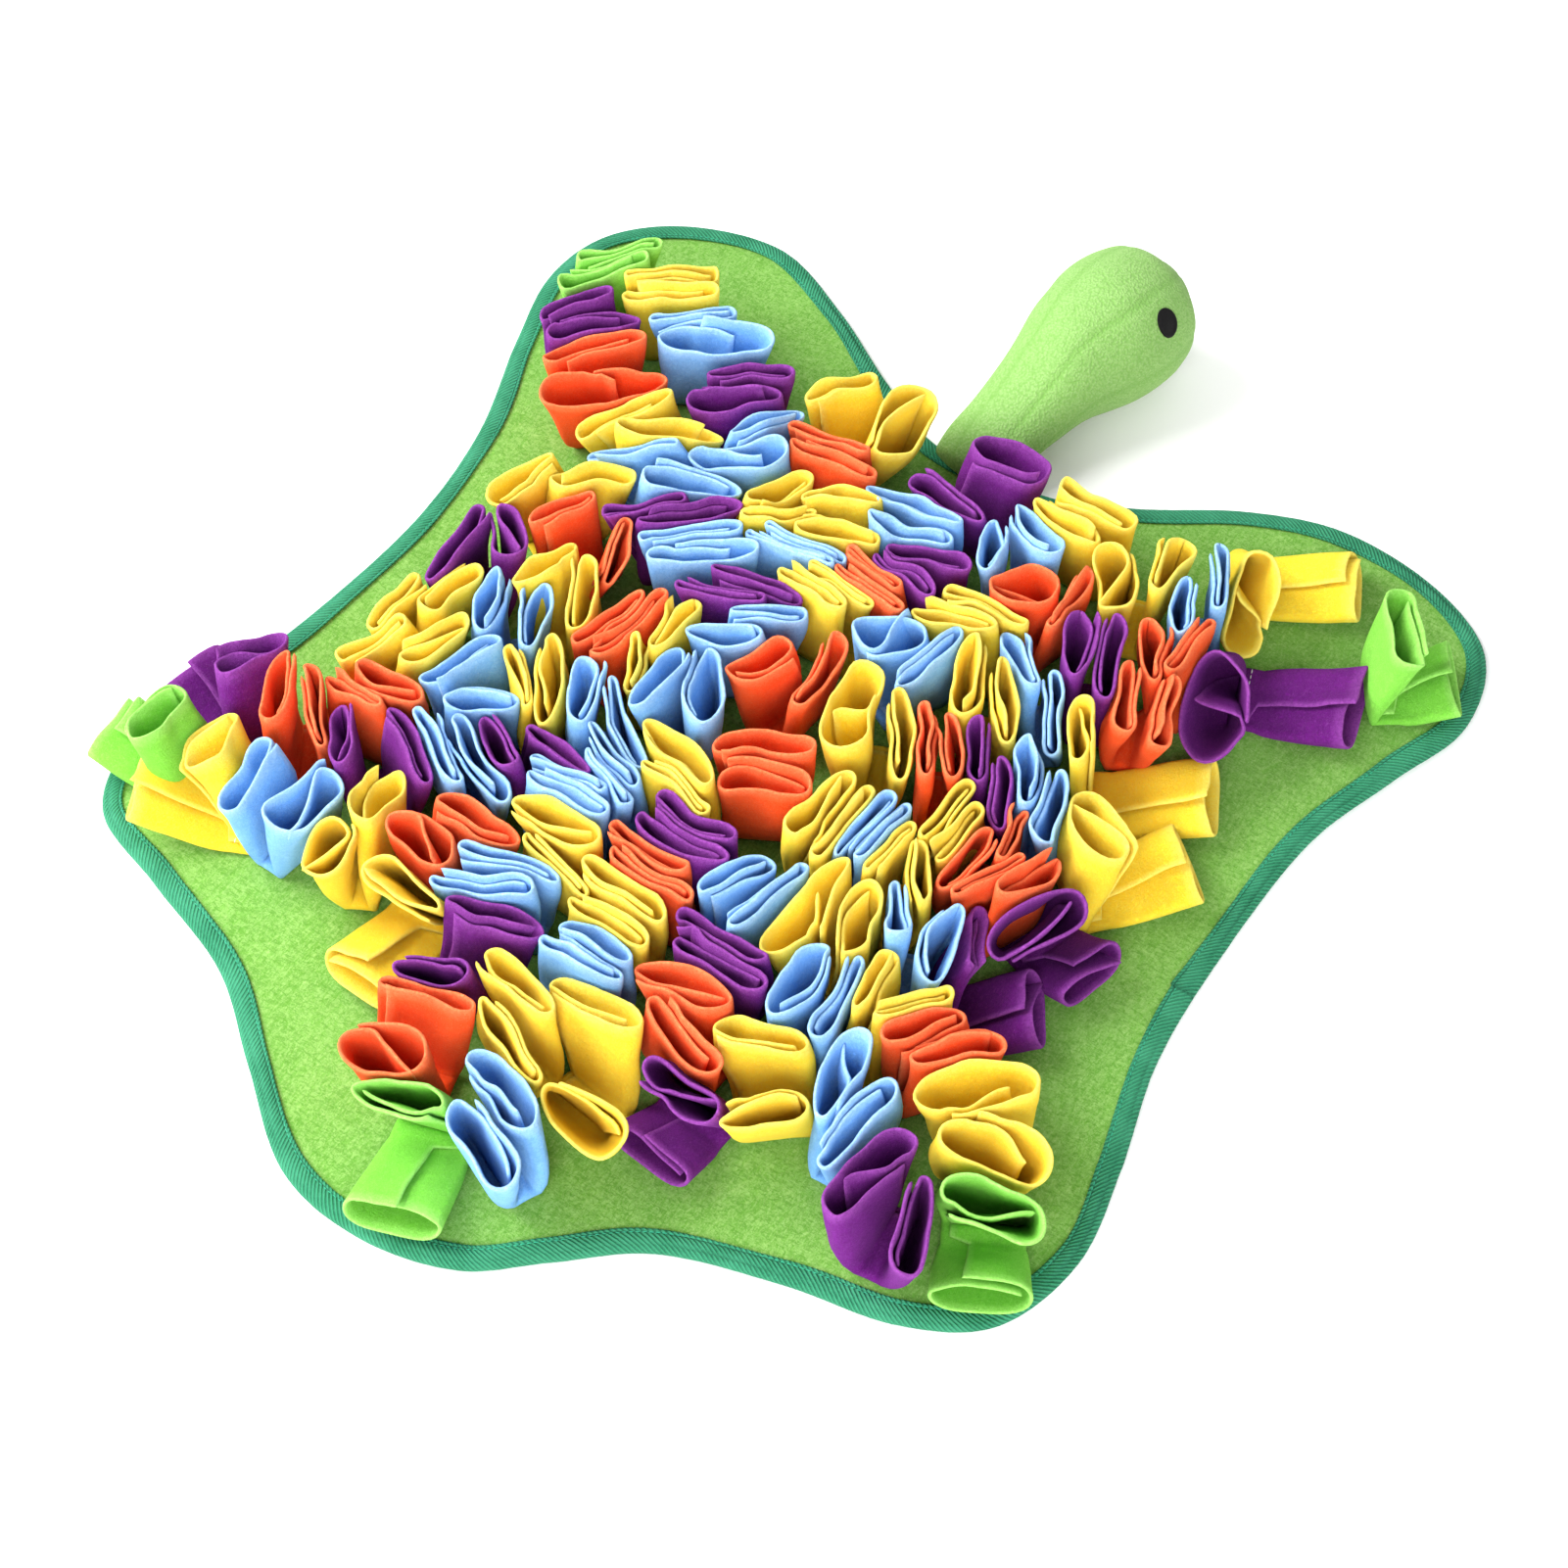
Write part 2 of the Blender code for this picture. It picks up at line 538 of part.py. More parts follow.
def crowd(pockets):
    """Pushes roots, walls and mouths apart until the felt no longer overlaps."""
    standing = [(n, h) for n, p in enumerate(pockets) for h in p.halves if not h.lies]
    lying = [(n, h) for n, p in enumerate(pockets) for h in p.halves if h.lies and p.name not in RAISED]
    rims = np.array([h.line for _, h in standing])
    wanted = rims.copy()
    home = np.array([p.seam for p in pockets])
    first_turns = [p.turn for p in pockets]
    radii = np.array([h.radius for _, h in standing])
    reaches = np.array([h.reach for _, h in standing])
    unit = np.array([n for n, _ in standing])
    own = np.arange(len(standing))
    for turn in range(ROUNDS):
        pull = PULL * max(0, 1 - turn / (ROUNDS * 0.7))
        rims += (wanted - rims) * pull
        roots = np.array([pockets[n].root(h) for n, h in standing])
        shove = np.zeros_like(rims)
        root_shove = np.zeros((len(pockets), 2))
        spin = np.zeros(len(pockets))
        for level in LEVELS:
            lines = roots * (1 - level) + rims * level
            thick = THIN * (1 - level) + radii * level
            push, worst = parted(lines, thick, own)
            shove += push * level
            np.add.at(root_shove, unit, push.mean(axis=1) * (1 - level))
            if level == 1 and turn > ROUNDS * 0.4:
                radii = np.where(worst > 1.0, np.maximum(radii - SQUEEZE, THIN), radii)
        rims += shove * EASE
        # the roots of whole pockets, and the halves that lie flat, on the mat
        leads = np.array([along(p.turn) for p in pockets])
        seams = np.array([p.seam for p in pockets])
        flats = [seams[:, None] + ENDS[:, None] * ROOT_CAPSULE[0] * leads[:, None]]
        owners = [np.arange(len(pockets))]
        thick = [np.full(len(pockets), ROOT_CAPSULE[1])]
        for n, h in lying:
            out = pockets[n].out(h)
            p = pockets[n]
            flats.append(np.array([[p.seam + out * p.lying * s for s in LYING_SPOTS]]))
            owners.append(np.array([n]))
            thick.append(np.array([h.reach + h.radius]))
        flats = np.concatenate(flats)
        owners = np.concatenate(owners)
        push, _ = parted(flats, np.concatenate(thick), owners)
        for points, shoves, n in zip(flats, push, owners):
            total = shoves.sum(axis=0)
            root_shove[n] += total * 0.7
            arm = points - seams[n]
            twist = (arm[:, 0] * shoves[:, 1] - arm[:, 1] * shoves[:, 0]).sum()
            spin[n] += twist
        for n, p in enumerate(pockets):
            p.seam = p.seam + (home[n] - p.seam) * pull + root_shove[n] * EASE
            p.turn += float(np.clip(math.degrees(spin[n] / 1500), -1, 1))
        # each mouth keeps its length and most of its straightness, and stays near its root
        roots = np.array([pockets[n].root(h).mean(axis=0) for n, h in standing])
        middle = rims.mean(axis=1)
        lean = middle - roots
        far = np.hypot(lean[:, 0], lean[:, 1])
        back = np.maximum(far - MOST_LEAN, 0) / (far + 1e-6)
        rims -= (lean * back[:, None])[:, None] * 0.5
        lead = rims[:, 2] - rims[:, 0]
        turned = np.degrees(np.arctan2(lead[:, 1], lead[:, 0]))
        twist = np.array([turned[i] - pockets[n].turn for i, n in enumerate(unit)])
        twist = (twist + 90) % 180 - 90
        flipped = np.abs((turned - [pockets[n].turn for n in unit] + 180) % 360 - 180) > 90
        for n in range(len(pockets)):
            turned_to = pockets[n].turn + float(twist[unit == n].mean()) * FOLLOW
            least = first_turns[n] - MOST_TURN
            pockets[n].turn = min(max(turned_to, least), least + 2 * MOST_TURN)
        held = np.array([p.turn for p in pockets])[unit] + np.clip(twist, -MOST_TWIST, MOST_TWIST)
        held = np.radians(held + 180 * flipped)
        lead = np.column_stack([np.cos(held), np.sin(held)])
        straight = rims.mean(axis=1)[:, None] + ENDS[None, :, None] * reaches[:, None, None] * lead[:, None]
        rims = rims * 0.5 + straight * 0.5
    for (n, h), rim, radius in zip(standing, rims, radii):
        h.line = rim
        h.radius = radius


def rolled(line, radius, curl, stations):
    """Where the rolled felt's middle surface crosses one station of its tube, in its plane.

    line holds the mouth's left end, middle and right end. The felt starts at the inner
    flap's edge, turns round the left end, runs along the back, round the right end and back
    over the inner flap.
    """
    left, middle, right = line
    reach = (right[0] - left[0]) / 2
    around = 4 * reach + 2 * math.pi * radius
    lap = min(max((STRIP_WIDTH - around) / 2, 4.0), 0.9 * reach)
    inset = FELT + LAYER_GAP
    inner = radius - inset

    def bend(across):
        end = left if across < 0 else right
        return middle[1] + (end[1] - middle[1]) * abs(across) / reach

    def at(across, out):
        return (middle[0] + across, bend(max(min(across, reach), -reach)) + out)

    if stations == 6:
        end = reach + 0.3 * radius
        return [
            at(lap, inner), at(-end, inner), at(-end, -radius),
            at(end, -radius), at(end, radius), at(-lap, radius),
        ]
    cap = (inner + radius) / 2
    edge = [at(lap * 0.8, inner * (1 - curl))]
    rest = [
        at(-reach, inner), at(-reach - cap, inner - cap), at(-reach, -radius),
        at(reach, -radius), at(reach + radius, 0), at(reach, radius),
    ]
    if stations == 8:
        return edge + rest + [at(-lap, radius)]
    return edge + [at(-lap, inner)] + rest + [at(lap * 0.8, radius), at(-lap, radius)]


def thickened(path, thickness):
    """A closed outline of this thickness round an open path in a plane."""
    path = np.array(path)
    runs = np.diff(path, axis=0)
    runs /= np.hypot(*runs.T)[:, None]
    square = np.column_stack([-runs[:, 1], runs[:, 0]])
    before = np.vstack([square[:1], square])
    after = np.vstack([square, square[-1:]])
    miter = before + after
    miter *= 2 / (miter**2).sum(axis=1)[:, None]
    long = np.hypot(*miter.T)
    miter *= np.minimum(1, MOST_MITER / long)[:, None]
    return np.vstack([path + miter * thickness / 2, (path - miter * thickness / 2)[::-1]])


def ring(origin, side, front, line, radius, curl, stations):
    """The felt's closed outline at one station, as points in space."""
    flat = [((p - origin) @ side, (p - origin) @ front) for p in line]
    loop = thickened(rolled(flat, radius, curl, stations), FELT)
    return [origin + side * s + front * f for s, f in loop]


def pocket_rings(pocket, stations):
    """The felt's outlines from one mouth over the seam to the other."""
    lead = np.array([*along(pocket.turn), 0])
    up = np.array([0, 0, 1.0])
    parts = []
    for half in pocket.halves:
        out = np.array([*pocket.out(half), 0])
        root = np.column_stack([pocket.root(half), np.full(3, ROOT_Z)])
        if half.lies:
            thin = half.radius - FELT / 2
            root[:, 2] = MAT_TOP + GAP + THIN
            low = ring(root[1], lead, up, root, FLATTEST, 0, stations)
            lift = LYING_LIFT + RAISED.get(pocket.name, 0)
            far = np.array([*pocket.seam, MAT_TOP + lift + half.radius]) + out * pocket.lying
            line = far + ENDS[:, None] * half.reach * lead
            rim = ring(far, lead, up, line, thin, 0, stations)
        else:
            slope = (up - out) / math.sqrt(2)
            low = ring(root[1], lead, slope, root, FLATTEST, 0, stations)
            line = half.line
            side = line[-1] - line[0]
            side /= np.hypot(*side)
            if side @ lead[:2] < 0:
                line = line[::-1]
                side = -side
            lean = line[1] - root[1][:2]
            rise = math.sqrt(WALL_LENGTH**2 - min(lean @ lean, MOST_LEAN**2))
            wall = np.array([*lean, rise])
            side = np.array([*side, 0])
            side -= wall * (side @ wall) / (wall @ wall) * 0.5
            side /= np.linalg.norm(side)
            front = np.cross(side, wall)
            front /= np.linalg.norm(front)
            if front @ out > 0:
                front = -front
            line = np.column_stack([line, np.full(3, ROOT_Z + rise)])
            curl = 0.5 if half.radius > OPEN_CUP / 2 else 0.0
            rim = ring(line[1], side, front, line, half.radius - FELT / 2, curl, stations)
        parts.append([rim, low])
    return parts[0] + parts[1][::-1]


def felt_mesh(name, pocket):
    lead = (*along(pocket.turn), 0)
    return mesh_of(name, *loft(pocket_rings(pocket, pocket.stations()), lead))


def settled(obj):
    """The object's mesh with its modifiers applied, and the object removed."""
    graph = bpy.context.evaluated_depsgraph_get()
    mesh = bpy.data.meshes.new_from_object(obj.evaluated_get(graph))
    bpy.data.objects.remove(obj)
    return mesh


def helper(name, mesh):
    obj = bpy.data.objects.new(name, mesh)
    obj.hide_render = True
    obj.display_type = "WIRE"
    bpy.data.collections["helpers"].objects.link(obj)
    return obj


def root_strip(one, two):
    """The narrow strip that joins two pockets' roots, inside the felt at both ends."""
    run = two.seam - one.seam
    middle = (one.seam + two.seam) / 2
    shape = bmesh.new()
    bmesh.ops.create_cube(shape, size=1)
    size = Matrix.Diagonal((np.hypot(*run), STRIP[0], STRIP[1], 1))
    turn = Matrix.Rotation(math.atan2(run[1], run[0]), 4, "Z")
    place = Matrix.Translation((*middle, STRIP_Z))
    bmesh.ops.transform(shape, matrix=Matrix.Scale(MM, 4) @ place @ turn @ size, verts=shape.verts)
    mesh = bpy.data.meshes.new("strip")
    shape.to_mesh(mesh)
    shape.free()
    return mesh


def joined(name, meshes):
    """Closed meshes joined into one by Boolean unions."""
    whole = helper(name, meshes[0])
    others = [helper(f"{name}_{i}", mesh) for i, mesh in enumerate(meshes[1:])]
    for other in others:
        union = whole.modifiers.new("join", "BOOLEAN")
        union.operation = "UNION"
        union.object = other
    mesh = settled(whole)
    for other in others:
        bpy.data.objects.remove(other)
    return largest_body(mesh)


def largest_body(mesh):
    """The mesh without the small closed bits that a union can leave between pressed layers."""
    shape = bmesh.new()
    shape.from_mesh(mesh)
    bodies = []
    left = set(shape.verts)
    while left:
        body = {left.pop()}
        edge = list(body)
        while edge:
            spread = {e.other_vert(v) for v in edge for e in v.link_edges} - body
            body |= spread
            edge = list(spread)
        left -= body
        bodies.append(body)
    bodies.sort(key=len)
    for body in bodies[:-1]:
        bmesh.ops.delete(shape, geom=list(body), context="VERTS")
    shape.to_mesh(mesh)
    shape.free()
    return mesh


def distance_between(start, end, other_start, other_end):
    """The least distance between two segments, below zero where they cross."""
    ends = [np.array([p]) for p in (start, end, other_start, other_end)]
    return float(nearest(*ends)[3][0])


def free_way(one, two, pockets, strips):
    """Whether a strip between two roots clears every other root and strip."""
    for other in pockets:
        if other in (one, two):
            continue
        lead = along(other.turn) * ROOT_CAPSULE[0]
        clear = distance_between(one.seam, two.seam, other.seam - lead, other.seam + lead)
        if clear < ROOT_CAPSULE[1] + STRIP[0] / 2:
            return False
        for half in other.halves:
            if half.lies:
                end = other.seam + other.out(half) * other.lying
                if distance_between(one.seam, two.seam, other.seam, end) < 32:
                    return False
    for a, b in strips:
        apart = distance_between(one.seam, two.seam, a.seam, b.seam)
        if not {one, two} & {a, b} and apart < STRIP[0] + 1:
            return False
    return True


def tree_of(mesh):
    mesh.calc_loop_triangles()
    points = [v.co for v in mesh.vertices]
    return BVHTree.FromPolygons(points, [tuple(t.vertices) for t in mesh.loop_triangles])


def grouped(pockets, meshes):
    """Neighbouring pockets in small groups, and the strips that join them.

    Pockets pressed so close that their felt touches share a group.
    """
    trees = {p: tree_of(meshes[p]) for p in pockets}
    touching = []
    for i, one in enumerate(pockets):
        for two in pockets[i + 1 :]:
            if math.dist(one.seam, two.seam) < 2 * LONGEST_STRIP and trees[one].overlap(trees[two]):
                touching.append((one, two))
    pressed = {p for pair in touching for p in pair}
    alone = [p for p in pockets if p.name in ALONE and p not in pressed]
    groups = {p: [p] for p in pockets if p not in alone}
    for one, two in touching:
        if groups[one] is not groups[two]:
            merged = groups[one] + groups[two]
            for p in merged:
                groups[p] = merged
    links = []
    for i, one in enumerate(pockets):
        for two in pockets[i + 1 :]:
            far = math.dist(one.seam, two.seam)
            if far < LONGEST_STRIP and one in groups and two in groups:
                links.append((far + UNLIKE * (one.colour != two.colour), one.name, two.name))
    by_name = {p.name: p for p in pockets}
    strips = []
    count = len({id(group) for group in groups.values()})
    for _, one_name, two_name in sorted(links):
        one = by_name[one_name]
        two = by_name[two_name]
        if count + len(alone) <= POCKET_NODES or groups[one] is groups[two]:
            continue
        if len(groups[one]) + len(groups[two]) > MOST_JOINED:
            continue
        if not free_way(one, two, pockets, strips):
            continue
        merged = groups[one] + groups[two]
        for p in merged:
            groups[p] = merged
        strips.append((one, two))
        count -= 1
    whole = []
    for p in pockets:
        group = sorted(groups.get(p, [p]), key=pockets.index)
        if group not in whole:
            whole.append(group)
    return whole, strips


def make_pockets():
    pockets = [Pocket(row) for row in POCKETS.strip().splitlines()]
    crowd(pockets)
    felt = {p: felt_mesh(p.name, p) for p in pockets}
    groups, strips = grouped(pockets, felt)
    for group in groups:
        bars = [root_strip(a, b) for a, b in strips if a in group]
        meshes = [felt[p] for p in group] + bars
        mesh = joined("joined", meshes) if len(meshes) > 1 else meshes[0]
        name = "pocket_" + "_".join(p.name for p in group)
        add_object(name, mesh, cloth(group[0].colour))


def main():
    clear_scene()
    for name in ("snuffle_mat", "helpers"):
        made = bpy.data.collections.get(name) or bpy.data.collections.new(name)
        if name not in bpy.context.scene.collection.children:
            bpy.context.scene.collection.children.link(made)
    edge = edge_points()
    make_mat(edge)
    make_binding(edge)
    make_head()
    make_pockets()


if __name__ == "__main__":
    main()
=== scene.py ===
"""Snuffle mat: a lobed felt mat with a taped edge, a stuffed head and rolled felt pockets.

Each felt pocket is one rectangle of felt, rolled in thirds into a flat tube and sewn to the
mat across its middle, so that its two halves stand up as a pair of open cups, or lie down at
a lobe's edge. Lengths are in mm where a name or comment doesn't say metres.
"""

import math
import random

import bmesh
import bpy
import numpy as np
from mathutils import Matrix, Vector, noise
from mathutils.bvhtree import BVHTree
from mathutils.geometry import delaunay_2d_cdt


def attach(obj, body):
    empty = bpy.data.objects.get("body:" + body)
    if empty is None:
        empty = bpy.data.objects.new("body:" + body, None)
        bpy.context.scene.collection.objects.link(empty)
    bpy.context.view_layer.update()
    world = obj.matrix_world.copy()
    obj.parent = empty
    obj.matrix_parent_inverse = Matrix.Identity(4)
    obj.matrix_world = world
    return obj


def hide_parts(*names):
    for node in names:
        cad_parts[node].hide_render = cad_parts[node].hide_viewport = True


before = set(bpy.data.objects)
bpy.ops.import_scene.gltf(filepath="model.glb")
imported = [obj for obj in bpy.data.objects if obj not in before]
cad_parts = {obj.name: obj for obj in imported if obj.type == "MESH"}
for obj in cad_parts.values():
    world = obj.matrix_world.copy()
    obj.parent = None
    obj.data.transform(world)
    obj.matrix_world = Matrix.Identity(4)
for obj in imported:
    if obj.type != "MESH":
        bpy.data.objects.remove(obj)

bl_info = {
    "name": "Snuffle mat",
    "version": (1, 0),
    "blender": (4, 5, 0),
    "location": "3D View > Sidebar > Snuffle mat",
    "description": "Builds a felt snuffle mat over its packed frame",
    "category": "Object",
}

MM = 0.001
GAP = 0.3
CENTRE = (-0.49, -24.24)

# ---- sizes shared with the frame ----

TAPE = 1.0
MAT_THICK = 4.0
MAT_BOTTOM = TAPE + GAP
MAT_TOP = MAT_BOTTOM + MAT_THICK
BINDING_WIDTH = 12.0

# Where the mat's edge runs, clockwise from the tail's tip
OUTLINE = [
    (0, -407), (-55, -399), (-109, -361), (-160, -324), (-225, -301), (-280, -280),
    (-299, -232), (-285, -180), (-272, -110), (-266, -20), (-277, 58), (-303, 130),
    (-320, 190), (-310, 240), (-270, 276), (-210, 290), (-150, 265), (-94, 231),
    (-40, 204), (35, 206), (85, 228), (140, 262), (195, 280), (258, 272),
    (305, 243), (319, 190), (302, 135), (283, 70), (279, -20), (283, -95),
    (299, -160), (308, -218), (292, -270), (250, -297), (192, -310), (130, -331),
    (88, -365), (52, -394),
]

FELT = 2.0
LAYER_GAP = 0.6
STRIP_WIDTH = 165.0
FLATTEST = FELT + LAYER_GAP
THIN = FLATTEST + FELT / 2
ROOT_REACH = 18.0
ROOT_OFFSET = 7.0
ROOT_Z = MAT_TOP + GAP + THIN / math.sqrt(2)
ROOT_CAPSULE = (12.5, 9.6)
WALL_LENGTH = 56.0
MOST_LEAN = 44.0
LYING_LENGTHS = (42.0, 66.0)
LYING_LIFT = 6.2
LYING_RADIUS = 8.0
LYING_SPOTS = (0.38, 0.5, 0.62)
SPREAD = 30.0
MOUTH = ("x", "y", "turn", "long", "gape")
ENDS = np.array([-1.0, 0.0, 1.0])

# One row per pocket. For each half: where its mouth's middle is, the direction of the mouth's
# long side in degrees, how long it is and how far it gapes. The second half of a pocket
# named in LYING lies down, and one in RAISED lies on its neighbour, so many mm higher.
COLUMNS = "name colour ax ay aturn along agape bx by bturn blong bgape"
POCKETS = """
T1 green -257 166 55 62 10 -256 183 45 54 9
T2 purple -233 123 51 61 18 -254 134 54 52 9
T3 yellow -213 176 35 60 12 -221 189 37 57 9
T4 blue -169 157 32 66 26 -192 166 40 50 10
T5 purple -134 125 55 59 19 -134 144 41 52 11
T6 orange -199 89 40 76 20 -227 112 47 62 16
T7 yellow -145 80 32 60 20 -181 80 61 62 12
T8 blue -106 88 48 62 22 -105 115 39 52 11
T9 blue -116 55 26 58 18 -154 61 51 58 10
T10 purple -103 43 40 58 14 -127 26 54 50 9
T11 orange -60 116 6 56 13 -69 134 26 50 9
T12 yellow -44 158 102 55 26 -85 168 36 50 11
T13 yellow -165 28 26 52 22 -199 6 77 54 11
T14 purple -183 -30 129 38 24 -200 -54 92 57 10
T15 orange -174 4 72 44 16 -128 -6 118 50 9
T16 yellow -148 -42 84 46 14 -116 -43 108 50 16
T17 yellow -72 76 55 48 15 -56 57 43 48 10
T18 yellow -29 69 1 48 14 -39 94 0 48 10
T19 blue -78 16 32 64 18 -93 26 45 60 9
T20 blue -37 43 13 58 10 -38 57 11 55 9
T21 purple -45 18 12 55 12 -58 2 40 51 9
H1 blue -2 110 169 62 13 5 90 3 52 11
H2 purple 24 174 12 48 20 12 126 166 56 15
H3 blue 67 136 158 46 15 52 108 118 42 12
H4 yellow 77 152 168 50 10 85 172 0 52 10
H5 yellow 119 130 122 48 25 140 158 98 44 13
H6 orange 75 92 30 42 29 109 102 103 46 11
H7 purple 25 86 8 52 13 20 61 179 50 10
H8 orange 8 47 4 50 9 2 60 168 48 9
H9 yellow -15 32 13 52 14 -5 45 180 50 9
H10 yellow 64 56 5 50 14 72 70 169 50 9
H11 blue 37 30 39 39 32 66 26 113 50 10
R1 blue 162 136 140 40 12 170 168 150 42 11
R2 yellow 186 161 102 68 30 232 227 107 50 10
R3 purple 198 92 117 70 33 264 181 129 56 9
R4 green 273 188 130 60 15 298 205 130 50 9
R5 orange 162 94 118 46 11 180 108 106 48 10
R6 orange 168 62 113 44 12 192 74 116 46 9
R7 purple 125 75 119 46 16 150 76 112 56 13
R8 yellow 154 32 120 46 18 233 42 103 50 10
R9 yellow 195 -19 145 49 29 246 -16 108 50 10
C1 yellow 88 28 118 54 16 114 18 132 52 16
C2 blue 106 58 158 42 10 140 36 128 54 11
C3 orange -19 -27 68 42 21 21 -16 104 50 11
C4 orange 23 -76 14 55 22 35 -97 19 52 28
C5 yellow 46 -26 116 66 32 82 -27 121 60 15
C6 orange 93 -26 121 54 10 108 -21 130 50 11
C7 purple 122 -17 111 48 12 149 -30 104 46 13
C8 blue 143 -13 163 46 13 168 -24 103 54 13
C9 yellow 66 -90 82 56 18 84 -94 80 56 9
C10 blue 94 -89 74 52 10 107 -90 76 50 9
C11 yellow 117 -91 78 48 10 133 -92 87 44 14
C12 yellow 126 -56 74 42 11 142 -70 66 42 11
C13 orange 147 -80 58 46 15 163 -52 93 44 10
C14 orange 182 -74 81 48 15 167 -82 93 48 9
C15 yellow 102 -146 69 68 24 131 -139 75 52 23
C16 blue 55 -153 54 46 17 80 -156 83 58 11
C17 blue 136 -122 122 44 12 172 -130 108 48 15
C18 purple 172 -101 130 46 14 224 -116 114 46 22
C19 purple 196 -87 94 55 28 228 -68 74 46 20
C20 orange -98 -49 82 52 11 -75 -48 82 62 10
C21 yellow -66 -36 120 42 16 -74 -64 140 42 10
C22 blue -50 -70 116 50 17 -30 -56 128 56 15
C23 blue -35 -22 60 44 15 -28 1 171 44 13
C24 yellow -13 -109 167 58 18 -2 -130 1 50 9
C25 blue -83 -103 116 50 20 -50 -106 137 58 12
C26 blue -42 -128 169 44 12 -36 -143 163 44 9
C27 yellow -98 -104 126 60 18 -120 -116 131 46 12
C28 blue -134 -76 130 46 14 -162 -78 96 44 12
C29 blue -145 -118 77 50 24 -113 -134 171 44 20
C30 purple -104 -148 150 42 15 -66 -142 150 50 12
C31 blue -126 -168 149 55 12 -100 -167 155 60 14
C32 blue -47 -162 5 51 13 -55 -149 13 48 9
C33 yellow -42 -171 172 57 21 -29 -191 178 50 9
C34 purple 18 -135 3 57 14 26 -154 177 58 15
C35 orange 9 -162 175 54 13 20 -177 179 54 10
C36 yellow 13 -190 168 58 15 16 -215 175 53 14
C37 purple 71 -184 176 60 10 82 -202 176 58 12
C38 yellow -188 -80 72 44 18 -206 -104 92 46 9
C39 yellow -168 -112 56 46 20 -198 -134 76 44 10
L1 green -262 -238 102 46 21 -299 -245 106 46 9
L2 purple -250 -175 68 44 24 -302 -193 77 40 12
L3 yellow -230 -236 116 48 24 -256 -281 128 46 10
L4 orange -222 -189 116 52 16 -193 -189 136 52 9
L5 blue -195 -245 110 54 14 -157 -236 56 50 28
L6 orange -166 -154 8 44 18 -184 -170 12 44 9
L7 purple -170 -200 124 46 18 -136 -182 140 52 14
L8 yellow -126 -212 68 48 24 -133 -259 121 38 27
L9 yellow -83 -254 6 54 17 -110 -295 156 48 9
L10 orange -96 -228 168 44 22 -75 -197 15 52 19
L11 blue -51 -230 26 56 13 -44 -209 23 56 13
L12 purple -33 -237 11 52 18 -41 -287 16 46 17
B1 blue 20 -226 168 50 13 19 -243 5 54 10
B2 yellow 4 -264 177 54 16 20 -299 160 54 13
B3 yellow 40 -252 166 58 18 74 -311 170 51 21
B4 orange -31 -338 21 50 24 -31 -301 15 58 12
B5 green -9 -352 11 54 18 -5 -401 173 52 9
B6 blue 34 -322 157 60 18 42 -352 150 52 20
B7 orange 74 -225 3 54 20 90 -245 171 58 21
B8 purple 112 -266 170 50 24 122 -292 26 50 10
D1 blue 121 -188 92 54 17 142 -186 97 54 11
D2 yellow 150 -168 82 46 12 178 -172 72 48 10
D3 yellow 124 -224 158 48 19 152 -256 107 44 12
D4 orange 182 -174 42 52 21 209 -181 40 56 14
D5 blue 164 -225 81 52 22 188 -241 71 58 18
D6 yellow 225 -188 6 62 25 253 -214 3 60 26
D7 purple 204 -258 110 62 24 244 -272 113 54 14
D8 green 270 -243 6 56 24 300 -257 59 52 9
"""
LYING = "L1 L2 L3 L9 B5 B8 R2 R3 R4 R8 R9 C18 C19 D8".split()
RAISED = {"L3": 9.0}

# How the crowded felt is pushed apart, as in the frame
LEVELS = (0.15, 0.4, 0.7, 1.0)
ROUNDS = 320
NEARBY = 75.0
SLACK = 0.9
PULL = 0.05
EASE = 0.6
SQUEEZE = 0.12
FOLLOW = 0.05
MOST_TWIST = 20.0
MOST_TURN = 30.0
PULL_UNTIL = 0.7
SQUEEZE_FROM = 0.4
ROOT_SHARE = 0.7
SPIN_EASE = 1500.0
MOST_SPIN = 1.0
STRAIGHTEN = 0.5

# ---- how finely the cloth is drawn, and how it lies ----

MAT_STEP = 9.0
TAPE_STEP = 3.6
GROOVE = 1.8
LAP_PLACE = (276, -50)
LAP_LENGTH = 16.0
LAP_HEIGHT = 0.9
STITCH_PITCH = 3.4
THREAD = 0.7
RIB = 1.9
WAVE = 0.314
SEAM_PITCH = 4.2
SEWN_IN_VIEW = ("R3", "L3")
WALL_ROWS = 9
PATH_POINTS = (11, 10, 11, 10, 11)
EDGE_ROUND = 0.9
EDGE_PINCH = 0.62
EDGE_PUSH = 0.22
# share of the painted rim highlight on the row next to a cut edge
NEAR_CUT = 0.75
TIGHTEST_FOLD = 2.6
FLAP_STEP = 7.0
BEND = 20.0
WARP_FROM = MAT_TOP + 4
WARP_RISE = 34.0
WARPS = ((40, 4.6, 0), (21, 3.2, 500), (9, 0.5, 900))
BLUNT = (2.4, 4.0)
WAIST = (0.0, 0.3)
CURL = (0.25, 1.0)
LIFT = 4.5
ROOM_SPOTS = (-1.0, -0.5, 0.0, 0.5, 1.0)
MOST_ROOM = 5.0
LYING_ROOM = 2.5
LYING_FLAP = (0.15, 0.45)
LYING_CUT = 0.45
CLOSED = {"curl": 0.0, "lift": 0.0, "blunt": 2.0, "waist": 0.0, "flap": 1.0,
          "room": (0, 0, 0, 0, 0)}
ASKEW = (3.4, 2.2)
FULLNESS = 0.58
SEED = 7
noise.seed_set(SEED)

